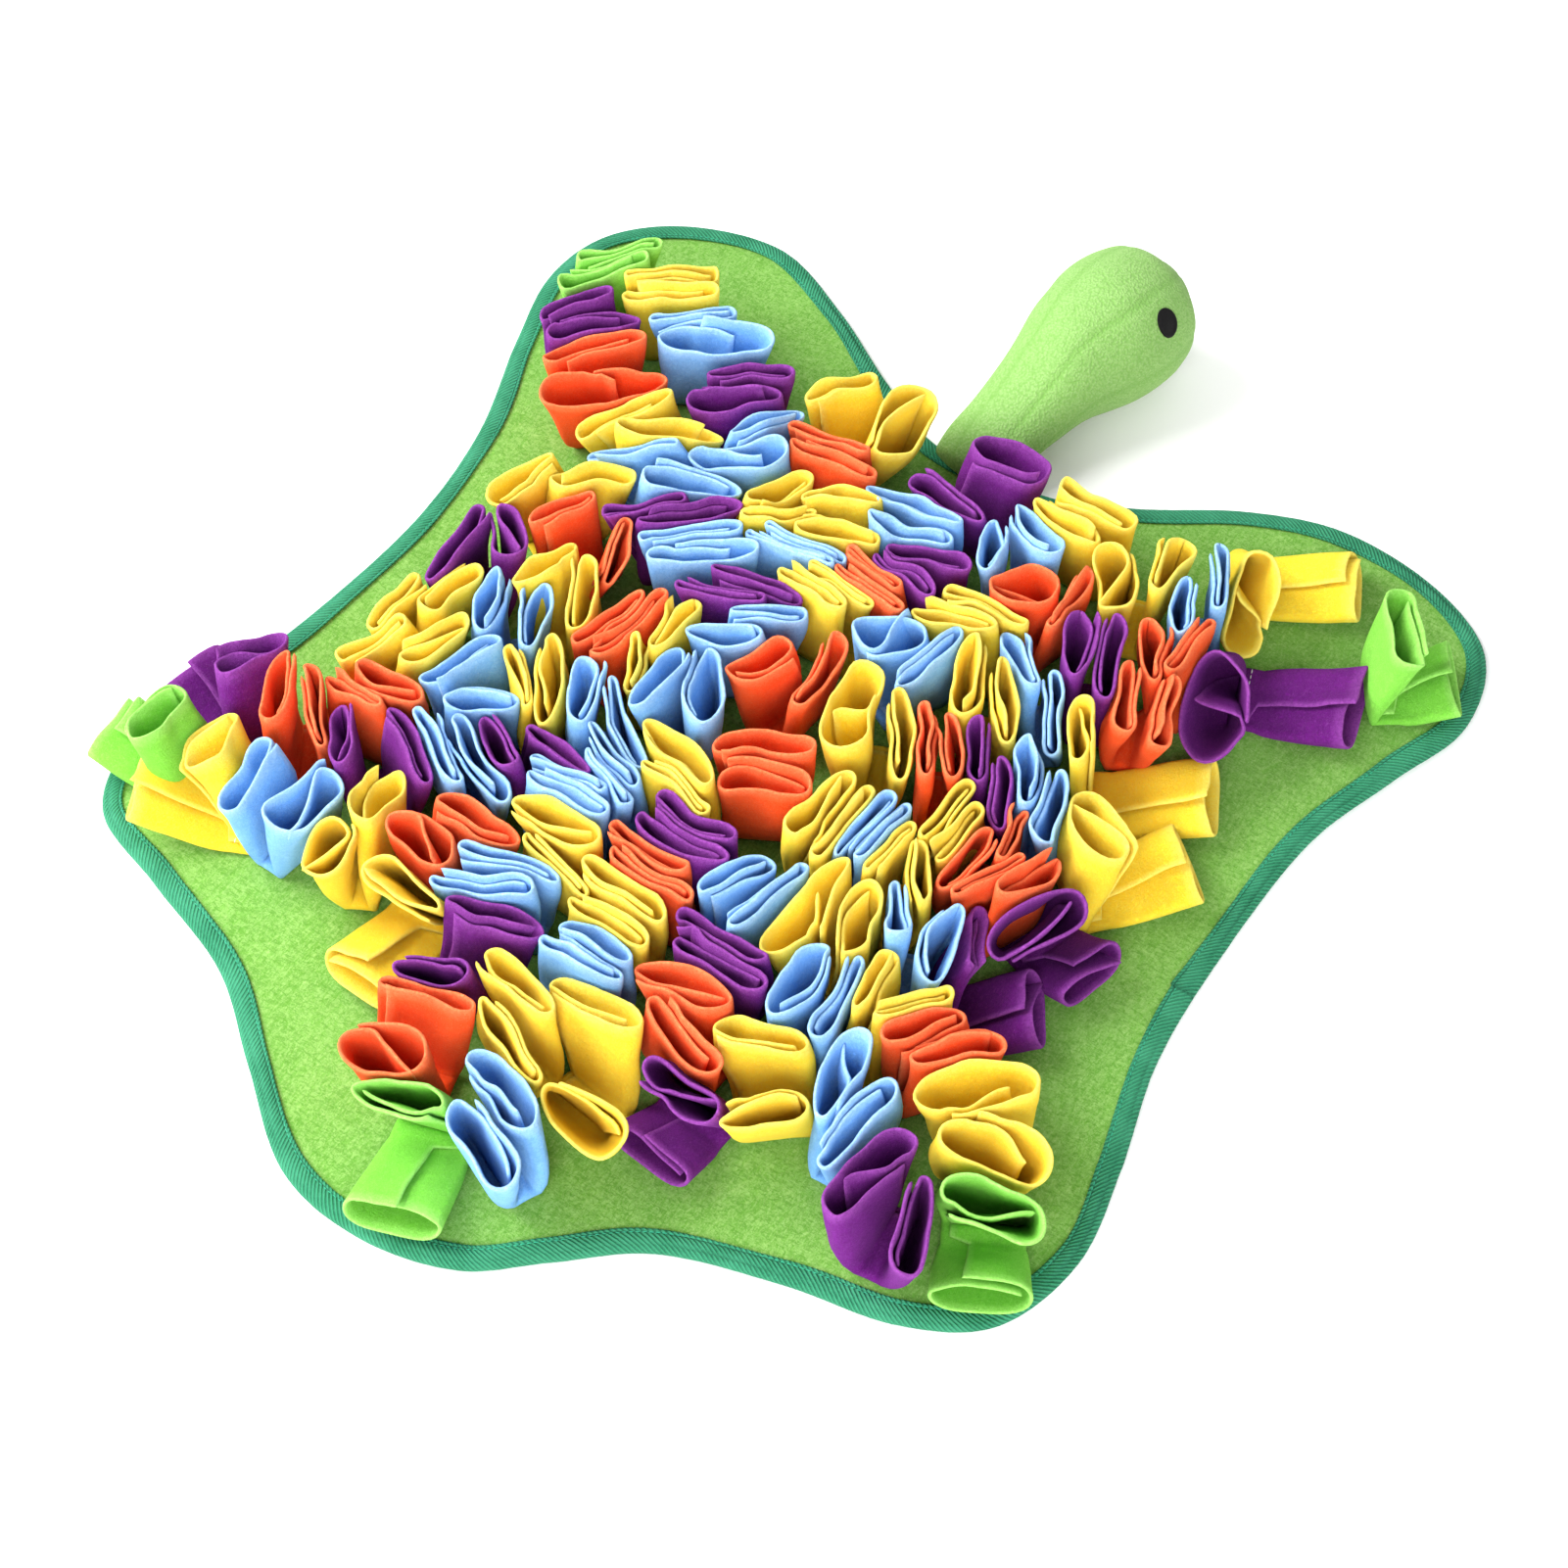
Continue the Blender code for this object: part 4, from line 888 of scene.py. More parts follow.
def nearest(a, b, c, d):
    """For segments a-b and c-d, row by row: the closest point's share along each, and the offset."""
    best = np.full(len(a), 1e9)
    share_one = np.zeros(len(a))
    share_two = np.zeros(len(a))
    offset = np.zeros_like(a)

    def shares(point, start, end):
        run = end - start
        share = ((point - start) * run).sum(axis=1) / ((run**2).sum(axis=1) + 1e-9)
        return np.clip(share, 0, 1)

    def take(gap, one, two):
        far = np.hypot(gap[:, 0], gap[:, 1])
        closer = far < best
        best[closer] = far[closer]
        share_one[closer] = one[closer]
        share_two[closer] = two[closer]
        offset[closer] = gap[closer]

    for point, at in ((a, 0.0), (b, 1.0)):
        share = shares(point, c, d)
        take(point - (c + (d - c) * share[:, None]), np.full(len(a), at), share)
    for point, at in ((c, 0.0), (d, 1.0)):
        share = shares(point, a, b)
        take(a + (b - a) * share[:, None] - point, share, np.full(len(a), at))

    def turns_left(p, q, r):
        one = q - p
        two = r - p
        return one[:, 0] * two[:, 1] - one[:, 1] * two[:, 0] > 0

    crossed = (turns_left(a, b, c) != turns_left(a, b, d)) & (
        turns_left(c, d, a) != turns_left(c, d, b)
    )
    between = (a + b - c - d)[crossed]
    offset[crossed] = between / (np.hypot(between[:, 0], between[:, 1])[:, None] + 1e-6)
    best[crossed] = -best[crossed]
    return share_one, share_two, offset, best


def parted(lines, radii, owner):
    """The shove on each point of each line so that the lines, thick as radii, stop overlapping.

    Also how deep each line's worst overlap is."""
    count, points = lines.shape[:2]
    starts = lines[:, :-1].reshape(-1, 2)
    ends = lines[:, 1:].reshape(-1, 2)
    line = np.repeat(np.arange(count), points - 1)
    spot = np.tile(np.arange(points - 1), count)
    middle = (starts + ends) / 2
    far = np.hypot(*(middle[:, None] - middle[None]).transpose(2, 0, 1))
    near = (far < NEARBY) & (owner[line][:, None] < owner[line][None])
    i, j = np.nonzero(near)
    one, two, offset, distance = nearest(starts[i], ends[i], starts[j], ends[j])
    depth = radii[line[i]] + radii[line[j]] + SLACK - distance
    centres = lines.mean(axis=1)
    crossed = distance < 0
    offset[crossed] = (centres[line[i]] - centres[line[j]])[crossed]
    hit = depth > 0
    i, j, one, two, depth = i[hit], j[hit], one[hit], two[hit], depth[hit]
    way = offset[hit] / (np.hypot(*offset[hit].T)[:, None] + 1e-6)
    push = way * depth[:, None] / 2
    shove = np.zeros_like(lines)
    for index, share, sign in ((i, one, 1), (j, two, -1)):
        np.add.at(shove, (line[index], spot[index]), push * sign * (1 - share)[:, None])
        np.add.at(shove, (line[index], spot[index] + 1), push * sign * share[:, None])
    worst = np.zeros(count)
    np.maximum.at(worst, line[i], depth)
    np.maximum.at(worst, line[j], depth)
    return shove, worst


def crowd(pockets):
    """Pushes roots, walls and mouths apart until the felt no longer overlaps."""
    standing = [(n, h) for n, p in enumerate(pockets) for h in p.halves if not h.lies]
    lying = [(n, h) for n, p in enumerate(pockets) for h in p.halves if h.lies and p.name not in RAISED]
    rims = np.array([h.line for _, h in standing])
    wanted = rims.copy()
    home = np.array([p.seam for p in pockets])
    first_turns = [p.turn for p in pockets]
    radii = np.array([h.radius for _, h in standing])
    reaches = np.array([h.reach for _, h in standing])
    unit = np.array([n for n, _ in standing])
    own = np.arange(len(standing))
    for turn in range(ROUNDS):
        pull = PULL * max(0, 1 - turn / (ROUNDS * PULL_UNTIL))
        rims += (wanted - rims) * pull
        roots = np.array([pockets[n].root(h) for n, h in standing])
        shove = np.zeros_like(rims)
        root_shove = np.zeros((len(pockets), 2))
        spin = np.zeros(len(pockets))
        for level in LEVELS:
            lines = roots * (1 - level) + rims * level
            thick = THIN * (1 - level) + radii * level
            push, worst = parted(lines, thick, own)
            shove += push * level
            np.add.at(root_shove, unit, push.mean(axis=1) * (1 - level))
            if level == 1 and turn > ROUNDS * SQUEEZE_FROM:
                radii = np.where(worst > 1.0, np.maximum(radii - SQUEEZE, THIN), radii)
        rims += shove * EASE
        # the roots of whole pockets, and the halves that lie flat, on the mat
        leads = np.array([along(p.turn) for p in pockets])
        seams = np.array([p.seam for p in pockets])
        flats = [seams[:, None] + ENDS[:, None] * ROOT_CAPSULE[0] * leads[:, None]]
        owners = [np.arange(len(pockets))]
        thick = [np.full(len(pockets), ROOT_CAPSULE[1])]
        for n, h in lying:
            out = pockets[n].out(h)
            p = pockets[n]
            flats.append(np.array([[p.seam + out * p.lying * s for s in LYING_SPOTS]]))
            owners.append(np.array([n]))
            thick.append(np.array([h.reach + h.radius]))
        flats = np.concatenate(flats)
        owners = np.concatenate(owners)
        push, _ = parted(flats, np.concatenate(thick), owners)
        for points, shoves, n in zip(flats, push, owners):
            total = shoves.sum(axis=0)
            root_shove[n] += total * ROOT_SHARE
            arm = points - seams[n]
            twist = (arm[:, 0] * shoves[:, 1] - arm[:, 1] * shoves[:, 0]).sum()
            spin[n] += twist
        for n, p in enumerate(pockets):
            p.seam = p.seam + (home[n] - p.seam) * pull + root_shove[n] * EASE
            p.turn += float(np.clip(math.degrees(spin[n] / SPIN_EASE), -MOST_SPIN, MOST_SPIN))
        # each mouth keeps its length and most of its straightness, and stays near its root
        roots = np.array([pockets[n].root(h).mean(axis=0) for n, h in standing])
        middle = rims.mean(axis=1)
        lean = middle - roots
        far = np.hypot(lean[:, 0], lean[:, 1])
        back = np.maximum(far - MOST_LEAN, 0) / (far + 1e-6)
        rims -= (lean * back[:, None])[:, None] * 0.5
        lead = rims[:, 2] - rims[:, 0]
        turned = np.degrees(np.arctan2(lead[:, 1], lead[:, 0]))
        twist = np.array([turned[i] - pockets[n].turn for i, n in enumerate(unit)])
        twist = (twist + 90) % 180 - 90
        flipped = np.abs((turned - [pockets[n].turn for n in unit] + 180) % 360 - 180) > 90
        for n in range(len(pockets)):
            turned_to = pockets[n].turn + float(twist[unit == n].mean()) * FOLLOW
            least = first_turns[n] - MOST_TURN
            pockets[n].turn = min(max(turned_to, least), least + 2 * MOST_TURN)
        held = np.array([p.turn for p in pockets])[unit] + np.clip(twist, -MOST_TWIST, MOST_TWIST)
        held = np.radians(held + 180 * flipped)
        lead = np.column_stack([np.cos(held), np.sin(held)])
        straight = rims.mean(axis=1)[:, None] + ENDS[None, :, None] * reaches[:, None, None] * lead[:, None]
        rims = rims * (1 - STRAIGHTEN) + straight * STRAIGHTEN
    for (n, h), rim, radius in zip(standing, rims, radii):
        h.line = rim
        h.radius = radius


def make_room(pockets):
    """How much further each mouth can gape along its length, half the way to its neighbours."""
    halves = [h for p in pockets for h in p.halves]
    for half in halves:
        half.room = np.zeros(len(ROOM_SPOTS))
    standing = [h for h in halves if not h.lies]
    lines = np.array([h.line for h in standing])
    starts = lines[:, :-1].reshape(-1, 2)
    runs = lines[:, 1:].reshape(-1, 2) - starts
    radii = np.array([h.radius for h in standing])
    for i, half in enumerate(standing):
        spots = np.column_stack([np.interp(ROOM_SPOTS, ENDS, half.line[:, k]) for k in (0, 1)])
        apart = spots[:, None] - starts
        share = np.clip((apart * runs).sum(axis=2) / (runs**2).sum(axis=1), 0, 1)
        far = np.linalg.norm(apart - runs * share[..., None], axis=2)
        far = far.reshape(len(spots), len(standing), -1).min(axis=2) - radii
        far[:, i] = np.inf
        half.room = np.clip((far.min(axis=1) - half.radius - GAP) / 2, 0, MOST_ROOM)


def felt_path(line, radius, lap, mouth):
    """Where the rolled felt's middle surface crosses one section of its tube, in its plane.

    line holds the mouth's left end, middle and right end. The felt starts at the inner
    flap's edge, turns round the left end, runs along the back, round the right end and back
    over the inner flap to the outer flap's edge.
    """
    left, middle, right = line
    reach = (right[0] - left[0]) / 2
    full = reach + radius
    slope = (right[1] - left[1]) / (2 * reach)
    bow = ((right[1] + left[1]) / 2 - middle[1]) / reach**2
    power = max(mouth["blunt"], 2 * TIGHTEST_FOLD * full / radius**2)
    tip = min(0.45 * full, max(1.2 * radius * radius * power / (2 * full), 3.0))

    def half_gap(u):
        spot = u / full
        wide = radius + np.interp(spot, ROOM_SPOTS, mouth["room"])
        wide = wide * (1 - mouth["waist"] * (1 - spot**2))
        return wide * np.sqrt(np.clip(1 - np.abs(spot) ** power, 0, 1))

    def placed(u, v):
        held = np.clip(u, -reach, reach)
        centre = middle[1] + slope * u + bow * (held**2 + 2 * held * (u - held))
        lean = slope + 2 * bow * held
        long = np.hypot(lean, 1)
        return np.column_stack([middle[0] + u - lean / long * v, centre + v / long])

    def ease(share):
        share = np.clip(share, 0, 1)
        return share * share * (3 - 2 * share)

    turn = np.linspace(0, math.pi, 160)
    whole = -full * np.cos(turn)
    front = whole[::-1]
    first = front[front < lap]
    first = np.concatenate([[lap], first])
    step = np.clip((first + lap + FLAP_STEP) / FLAP_STEP, 0, 1)
    drop = (FELT + LAYER_GAP) * ease(step)
    free = ease((first + lap * 0.7) / (lap * 1.7))
    inner = half_gap(first) - np.minimum(drop, half_gap(first) * 0.9 + 1)
    inner = inner - mouth["curl"] * 2 * (radius - FELT) * free
    flap = lap * mouth["flap"]
    last = np.concatenate([front[front > -flap], [-flap]])
    outer = half_gap(last) + mouth["lift"] * ease((-last - flap + 14) / 14)
    path = np.vstack([
        placed(first, inner), placed(whole[1:], -half_gap(whole[1:])), placed(last[1:], outer[1:])
    ])
    marks = [
        0,
        int(np.argmax(first < -full + tip)) if (first < -full + tip).any() else len(first) - 2,
        len(first) - 1 + int(np.argmax(whole > -full + tip)),
        len(first) - 1 + int(np.argmax(whole > full - tip)),
        len(first) + len(whole) - 2 + int(np.argmax(last < full - tip)),
        len(path) - 1,
    ]
    run = np.r_[0, np.cumsum(np.hypot(*np.diff(path, axis=0).T))]
    spots = [run[0], run[0] + EDGE_ROUND]
    for n, count in enumerate(PATH_POINTS):
        start = spots[-1] if n == 0 else run[marks[n]]
        end = run[marks[n + 1]] - (EDGE_ROUND if n == len(PATH_POINTS) - 1 else 0)
        spots.extend(np.linspace(start, end, count + 1)[1:])
    spots.append(run[-1])
    return np.column_stack([np.interp(spots, run, path[:, k]) for k in (0, 1)])


def section(origin, side, front, line, radius, mouth=CLOSED):
    """The felt's middle surface at one section of its tube, as points in space."""
    flat = np.array([((p - origin) @ side, (p - origin) @ front) for p in line])
    reach = (flat[2][0] - flat[0][0]) / 2
    around = 4 * reach + 2 * math.pi * radius * 0.9
    lap = min(max((STRIP_WIDTH - around) / 2, 5.0), 0.8 * (reach + radius))
    path = felt_path(flat, radius, lap, mouth)
    return origin + path[:, :1] * side + path[:, 1:] * front


def half_rows(pocket, half, chance):
    """The felt's sections from the half's root to its mouth."""
    lead = np.array([*along(pocket.turn), 0])
    up = np.array([0, 0, 1.0])
    out = np.array([*pocket.out(half), 0])
    spread = half.radius - FELT / 2
    open_by = min(1.0, max(0.0, (half.radius - 6) / 7))
    mouth = {
        "curl": open_by * chance.uniform(*CURL), "lift": LIFT * chance.random() ** 2,
        "blunt": chance.uniform(*BLUNT), "waist": chance.uniform(*WAIST), "room": half.room,
        "flap": chance.uniform(*LYING_FLAP) if half.lies else 1.0,
    }
    askew = [chance.uniform(-1, 1) * size for size in ASKEW]
    root = np.column_stack([pocket.root(half), np.full(3, ROOT_Z)])
    if half.lies:
        root[:, 2] = MAT_TOP + GAP + THIN
        low = section(root[1], lead, up, root, FLATTEST, CLOSED | {"flap": mouth["flap"]})
        height = LYING_LIFT + RAISED.get(pocket.name, 0)
        mouth["room"] = np.full(len(ROOM_SPOTS), LYING_ROOM)
        base = MAT_TOP + height
        far = np.array([*pocket.seam, base + half.radius + LYING_ROOM]) + out * pocket.lying
        line = far + ENDS[:, None] * half.reach * lead
        rim = section(far, lead, up, line, spread, mouth)
        rim = rim - np.maximum(rim[:, 2:] - base, 0) * LYING_CUT * out
        start = out
    else:
        low = section(root[1], lead, (up - out) / math.sqrt(2), root, FLATTEST)
        line = half.line
        side = line[-1] - line[0]
        side /= np.hypot(*side)
        if side @ lead[:2] < 0:
            line = line[::-1]
            side = -side
            mouth["room"] = half.room[::-1]
        lean = line[1] - root[1][:2]
        rise = math.sqrt(WALL_LENGTH**2 - min(lean @ lean, MOST_LEAN**2))
        wall = np.array([*lean, rise])
        side = np.array([*side, 0])
        side -= wall * (side @ wall) / (wall @ wall) * 0.5
        side /= np.linalg.norm(side)
        front = np.cross(side, wall)
        front /= np.linalg.norm(front)
        if front @ out > 0:
            front = -front
        line = np.column_stack([line, np.full(3, ROOT_Z + rise)])
        rim = section(line[1], side, front, line, spread, mouth)
        start = (out + up) / math.sqrt(2)
    shares = [*np.linspace(0, 1 - EDGE_ROUND / WALL_LENGTH, WALL_ROWS), 1.0]
    straight = line[1] - root[1] if not half.lies else far - root[1]
    straight = straight / np.linalg.norm(straight)
    round_by = np.linspace(0, math.pi, len(rim))
    tilt = askew[0] * np.cos(round_by) + askew[1] * np.sin(2 * round_by)
    rim = rim + tilt[:, None] * straight
    rows = []
    for share in shares:
        bulge = BEND * share * (1 - share) ** 2 * (start - straight)
        wide = share**FULLNESS
        centre = low.mean(axis=0) * (wide - share) + rim.mean(axis=0) * (share - wide)
        rows.append(low * (1 - wide) + rim * wide + centre + bulge)
    return rows


def seam_rows(pocket):
    """The felt's sections between the two roots, where it is sewn flat to the mat."""
    lead = np.array([*along(pocket.turn), 0])
    up = np.array([0, 0, 1.0])
    one, two = pocket.halves
    rows = []
    for share in (-0.5, 0.0, 0.5):
        half = one if share < 0 else two
        out = np.array([*pocket.out(half), 0])
        turn = 0.0 if half.lies else math.radians(45) * abs(share)
        place = pocket.seam + pocket.out(half) * ROOT_OFFSET * abs(share)
        sewn = MAT_TOP + GAP + THIN * math.cos(turn)
        line = np.column_stack([place + ENDS[:, None] * ROOT_REACH * lead[:2], np.full(3, sewn)])
        front = up * math.cos(turn) - out * math.sin(turn)
        rows.append(section(line[1], lead, front, line, FLATTEST))
    return rows


def warped(points):
    """Bends the felt in folds, the same way for neighbours, and least near the mat."""
    flat = points.reshape(-1, 3)
    moved = np.empty_like(flat)
    for i, (x, y, z) in enumerate(flat):
        free = min(max((z - WARP_FROM) / WARP_RISE, 0), 1)
        moved[i] = (x, y, z)
        for size, most, shift in WARPS:
            bend = noise.noise_vector(Vector((x + shift, y, z * 0.6)) / size)
            moved[i] += np.array(bend) * most * free
    return moved.reshape(points.shape)


def seam_stitches(pockets):
    """Pale machine stitches across the seams of the pockets where they show."""
    parts = []
    for pocket in pockets:
        if pocket.name not in SEWN_IN_VIEW:
            continue
        top = np.array([row[:, 2].max() for row in seam_rows(pocket)]).max() + FELT / 2
        lead = along(pocket.turn)
        for place in np.arange(-ROOT_REACH, ROOT_REACH, SEAM_PITCH):
            ends = [(*(pocket.seam + lead * (place + part)), top) for part in (0.3, SEAM_PITCH - 0.6)]
            parts.append(stitch(*ends, THREAD))
    points, faces = joined(parts)
    return add_piece("pocket_stitches", points, faces, thread_material("pale_thread", "E4DFE6"))


def felt_pocket(pocket):
    """One pocket as a sheet of felt, rolled and sewn across its middle."""
    chance = random.Random(f"{SEED} {pocket.name}")
    one = half_rows(pocket, pocket.halves[0], chance)
    two = half_rows(pocket, pocket.halves[1], chance)
    middle = warped(np.array(one[::-1] + seam_rows(pocket) + two))
    points, faces, near = shell(middle, FELT)
    felt = felt_material(pocket.colour, COLOURS[pocket.colour])
    obj = add_piece(f"felt_{pocket.name}", points, faces, felt)
    # how near each point is to a cut edge, which the felt's painted rim highlight follows
    point_values(obj, "cut_edge", near)
    return obj


# ---- the stuffed head ----


def head_rows():
    """The head's sections, drawn finely, from the neck to the rounded front."""
    rows = np.array(HEAD, float)
    run = np.r_[0, np.cumsum(np.linalg.norm(np.diff(rows[:, :2], axis=0), axis=1))]
    at = np.linspace(0, run[-1], HEAD_ROWS)
    knots = np.gradient(rows, run, axis=0)
    fine = np.empty((len(at), 5))
    for n, place in enumerate(at):
        i = min(int(np.searchsorted(run, place, "right")) - 1, len(run) - 2)
        long = run[i + 1] - run[i]
        t = (place - run[i]) / long
        fine[n] = ((2 * t**3 - 3 * t**2 + 1) * rows[i] + (t**3 - 2 * t**2 + t) * long * knots[i]
                   + (3 * t**2 - 2 * t**3) * rows[i + 1] + (t**3 - t**2) * long * knots[i + 1])
    return fine


def head_point(row, lead, turn):
    """A point on one section of the head, at an angle from its right side, and how near it is to a seam,
    from 0 to 1, which sets the seam's painted shade.
    """
    x, y, z, wide, high = row
    side = np.array([lead[1], -lead[0]]) / math.hypot(*lead)
    depth = sum(math.exp(-((math.degrees(turn) - at + 180) % 360 - 180) ** 2 / (2 * 2.2**2))
                for at in SEAMS)
    sink = 1 - SEAM_DEPTH * min(depth, 1) / max(wide, 12)
    across = wide * math.cos(turn) * sink
    rise = high * math.sin(turn) * sink
    height = z + rise
    height = max(height, 0.2 + 0.02 * max(-rise - 20, 0))
    return (x + side[0] * across, y + side[1] * across, height), min(depth, 1)


def make_head():
    rows = head_rows()
    leads = np.gradient(rows[:, :2], axis=0)
    loops = [(row, lead, 1.0) for row, lead in zip(rows, leads)]
    lead = leads[-1] / np.hypot(*leads[-1])
    for shrink, past in NOSE:
        row = rows[-1].copy()
        row[:2] += lead * past
        row[3:] *= math.sqrt(1 - shrink**2)
        loops.append((row, lead, 0.5))
    points = []
    painted_seam_shade = []
    for row, leading, share in loops:
        for turn in np.linspace(0, 2 * math.pi, HEAD_COLUMNS, endpoint=False):
            place, depth = head_point(row, leading, turn)
            points.append(place)
            painted_seam_shade.append(depth * share)
    count = len(loops)
    faces = grid_faces(count, HEAD_COLUMNS, closed=True)
    tip = len(points)
    points.append((*(rows[-1][:2] + lead * NOSE_LENGTH), rows[-1][2]))
    painted_seam_shade.append(0)
    last = (count - 1) * HEAD_COLUMNS
    faces += [(last + j, last + (j + 1) % HEAD_COLUMNS, tip) for j in range(HEAD_COLUMNS)]
    faces.append(tuple(reversed(range(HEAD_COLUMNS))))
    points = np.array(points)
    for i, (x, y, z) in enumerate(points):
        if z > 1:
            lump = noise.noise_vector(Vector((x, y, z)) / 27)
            points[i] += np.array(lump) * HEAD_LUMP * min(1, max(0, y - LUMPS_FROM) / 30)
    obj = add_piece("stuffed_head", points, faces, fleece_material())
    # how near each point is to a seam, which the fleece reads as its painted seam shade
    point_values(obj, "groove", painted_seam_shade)
    round_off = obj.modifiers.new("round_off", "SUBSURF")
    round_off.levels = round_off.render_levels = 1
    return obj


def make_eye(name, head, sign):
    """An oval of black embroidery that lies on the side of the head."""
    rows = np.array(HEAD, float)
    x, y, z, wide, high = rows[EYE_SECTION]
    lead = np.gradient(rows[:, :2], axis=0)[EYE_SECTION]
    side = Vector((lead[1], -lead[0], 0)).normalized() * sign
    turn = math.radians(EYE_ANGLE + HEAD_ROLL * sign)
    out = (side * math.cos(turn) / wide + Vector((0, 0, math.sin(turn) / high))).normalized()
    at = Vector((x, y, z)) + side * wide * math.cos(turn) + Vector((0, 0, high * math.sin(turn)))
    turned = out.to_track_quat("Z", "Y").to_matrix()
    mesh = head.data
    skin = BVHTree.FromPolygons([v.co for v in mesh.vertices], [tuple(f.vertices) for f in mesh.polygons])
    shift = Vector((CENTRE[0], CENTRE[1], 0))
    points = []
    circles = [(0.0, 0.75), (0.25, 0.75), (0.5, 0.72), (0.72, 0.66), (0.8, 0.9), (0.9, 1.05),
               (0.97, 0.8), (1.0, 0.3), (0.98, -0.4)]
    for radius, height in circles[1:]:
        for k in range(EYE_POINTS):
            angle = 2 * math.pi * k / EYE_POINTS
            local = Vector((EYE[0] * radius * math.cos(angle), EYE[1] * radius * math.sin(angle), 0))
            place = at + turned @ local
            hit, normal, *_ = skin.find_nearest((place - shift) * MM)
            points.append(hit / MM + shift + normal * height)
    faces = grid_faces(len(circles) - 1, EYE_POINTS, closed=True)
    faces += [tuple(reversed(range(EYE_POINTS))), tuple(range(len(points) - EYE_POINTS, len(points)))]
    return add_piece(name, [tuple(p) for p in points], faces, eye_material())


# ---- the studio ----


def make_stage(settings):
    """A pale floor, soft lights and the camera at the photograph's viewpoint."""
    bpy.ops.mesh.primitive_plane_add(size=14, location=(0, 0, 0))
    floor = bpy.context.object
    floor.name = "studio_floor"
    floor.data.materials.append(floor_material())
    world = bpy.context.scene.world or bpy.data.worlds.new("studio_sky")
    bpy.context.scene.world = world
    world.use_nodes = True
    sky = world.node_tree.nodes["Background"]
    sky.inputs["Color"].default_value = (1, 1, 1, 1)
    sky.inputs["Strength"].default_value = settings.sky
    for name, place, aim, size, watts in LIGHTS:
        data = bpy.data.lights.new(name, "AREA")
        data.shape = "DISK"
        data.size = size
        data.energy = watts * settings.light
        lamp = bpy.data.objects.new(name, data)
        lamp.location = place
        lamp.rotation_euler = (Vector(aim) - Vector(place)).to_track_quat("-Z", "Y").to_euler()
        bpy.context.scene.collection.objects.link(lamp)
    lens = bpy.data.cameras.new("camera")
    lens.angle = math.radians(CAMERA_FIELD)
    lens.clip_start = 0.05
    camera = bpy.data.objects.new("camera", lens)
    shift = Vector((CENTRE[0], CENTRE[1], 0)) * MM
    eye = Vector(CAMERA_AT)
    right = Vector((*CAMERA_RIGHT, 0)).normalized()
    back = (eye - Vector(CAMERA_AIM)).normalized()
    turned = Matrix((right, back.cross(right), back)).transposed().to_4x4()
    camera.matrix_world = Matrix.Translation(eye - shift) @ turned
    bpy.context.scene.collection.objects.link(camera)
    scene = bpy.context.scene
    scene.camera = camera
    scene.view_settings.view_transform = "Standard"


# ---- pieces, controls and panel ----


def node_of(name):
    """The frame's node that holds this pocket."""
    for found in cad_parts:
        if found.startswith("pocket_") and name in found.split("_")[1:]:
            return found
    raise LookupError(f"no node holds pocket {name}")


def dress(obj, replaced=None):
    """Seats a piece on the mat's body, in place of the frame's node."""
    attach(obj, "root")
    if replaced:
        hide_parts(replaced)


class SnuffleMatSettings(bpy.types.PropertyGroup):
    light: bpy.props.FloatProperty(
        name="Lamps", description="Share of the lamps' usual power", default=1.0, min=0
    )
    sky: bpy.props.FloatProperty(
        name="Sky", description="Strength of the even light all round", default=0.7, min=0
    )


class SNUFFLE_OT_mat(bpy.types.Operator):
    """Makes the felt mat and its taped edge"""

    bl_idname = "snuffle.mat"
    bl_label = "Mat and tape"

    def execute(self, context):
        sheet = make_mat()
        dress(sheet, "mat")
        tape, stitches = make_binding()
        dress(tape, "edge_binding")
        dress(stitches)
        return {"FINISHED"}


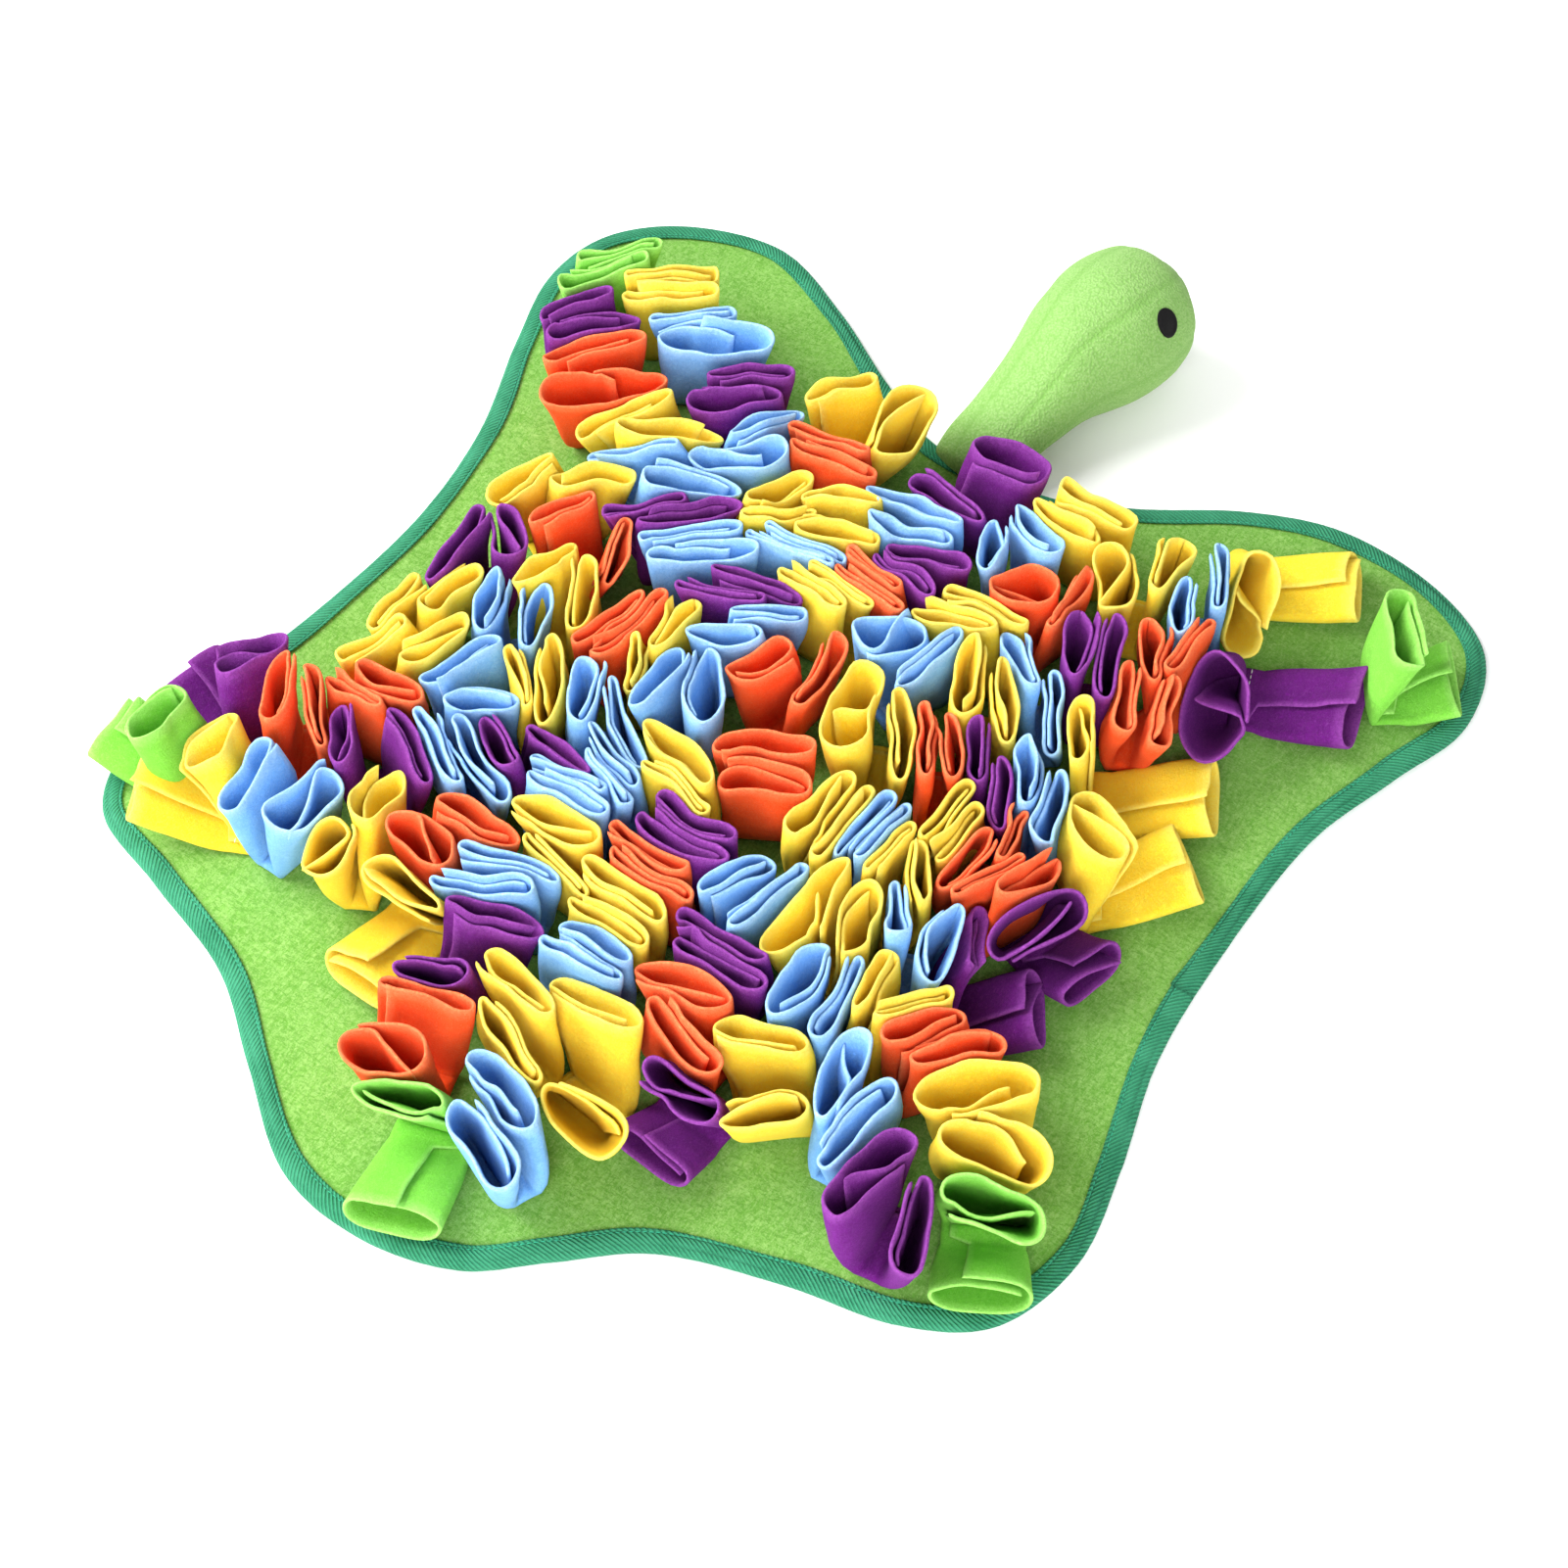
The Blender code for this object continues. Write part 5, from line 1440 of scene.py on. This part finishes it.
class SNUFFLE_OT_head(bpy.types.Operator):
    """Makes the stuffed head and its eyes"""

    bl_idname = "snuffle.head"
    bl_label = "Head"

    def execute(self, context):
        head = make_head()
        dress(head, "head")
        for name, sign in (("eye_right", 1), ("eye_left", -1)):
            eye = make_eye(f"{name}_thread", head, sign)
            dress(eye, name)
        return {"FINISHED"}


class SNUFFLE_OT_pockets(bpy.types.Operator):
    """Rolls the felt pockets and sews them down where the frame has them"""

    bl_idname = "snuffle.pockets"
    bl_label = "Felt pockets"

    def execute(self, context):
        pockets = [Pocket(row) for row in POCKETS.strip().splitlines()]
        crowd(pockets)
        make_room(pockets)
        for pocket in pockets:
            felt = felt_pocket(pocket)
            dress(felt, node_of(pocket.name))
        dress(seam_stitches(pockets))
        return {"FINISHED"}


class SNUFFLE_OT_stage(bpy.types.Operator):
    """Makes the floor, the lights and the camera"""

    bl_idname = "snuffle.stage"
    bl_label = "Studio"

    def execute(self, context):
        make_stage(context.scene.snuffle_mat)
        return {"FINISHED"}


class SNUFFLE_PT_panel(bpy.types.Panel):
    bl_label = "Snuffle mat"
    bl_idname = "SNUFFLE_PT_panel"
    bl_space_type = "VIEW_3D"
    bl_region_type = "UI"
    bl_category = "Snuffle mat"

    def draw(self, context):
        settings = context.scene.snuffle_mat
        for name in ("light", "sky"):
            self.layout.prop(settings, name)
        for kind in OPERATORS:
            self.layout.operator(kind.bl_idname)


OPERATORS = (SNUFFLE_OT_mat, SNUFFLE_OT_head, SNUFFLE_OT_pockets, SNUFFLE_OT_stage)
CLASSES = (SnuffleMatSettings, *OPERATORS, SNUFFLE_PT_panel)


def register():
    for kind in CLASSES:
        bpy.utils.register_class(kind)
    bpy.types.Scene.snuffle_mat = bpy.props.PointerProperty(type=SnuffleMatSettings)


def unregister():
    del bpy.types.Scene.snuffle_mat
    for kind in reversed(CLASSES):
        bpy.utils.unregister_class(kind)


def main():
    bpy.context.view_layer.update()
    register()
    bpy.ops.snuffle.mat()
    bpy.ops.snuffle.head()
    bpy.ops.snuffle.pockets()
    bpy.ops.snuffle.stage()


if __name__ == "__main__":
    main()
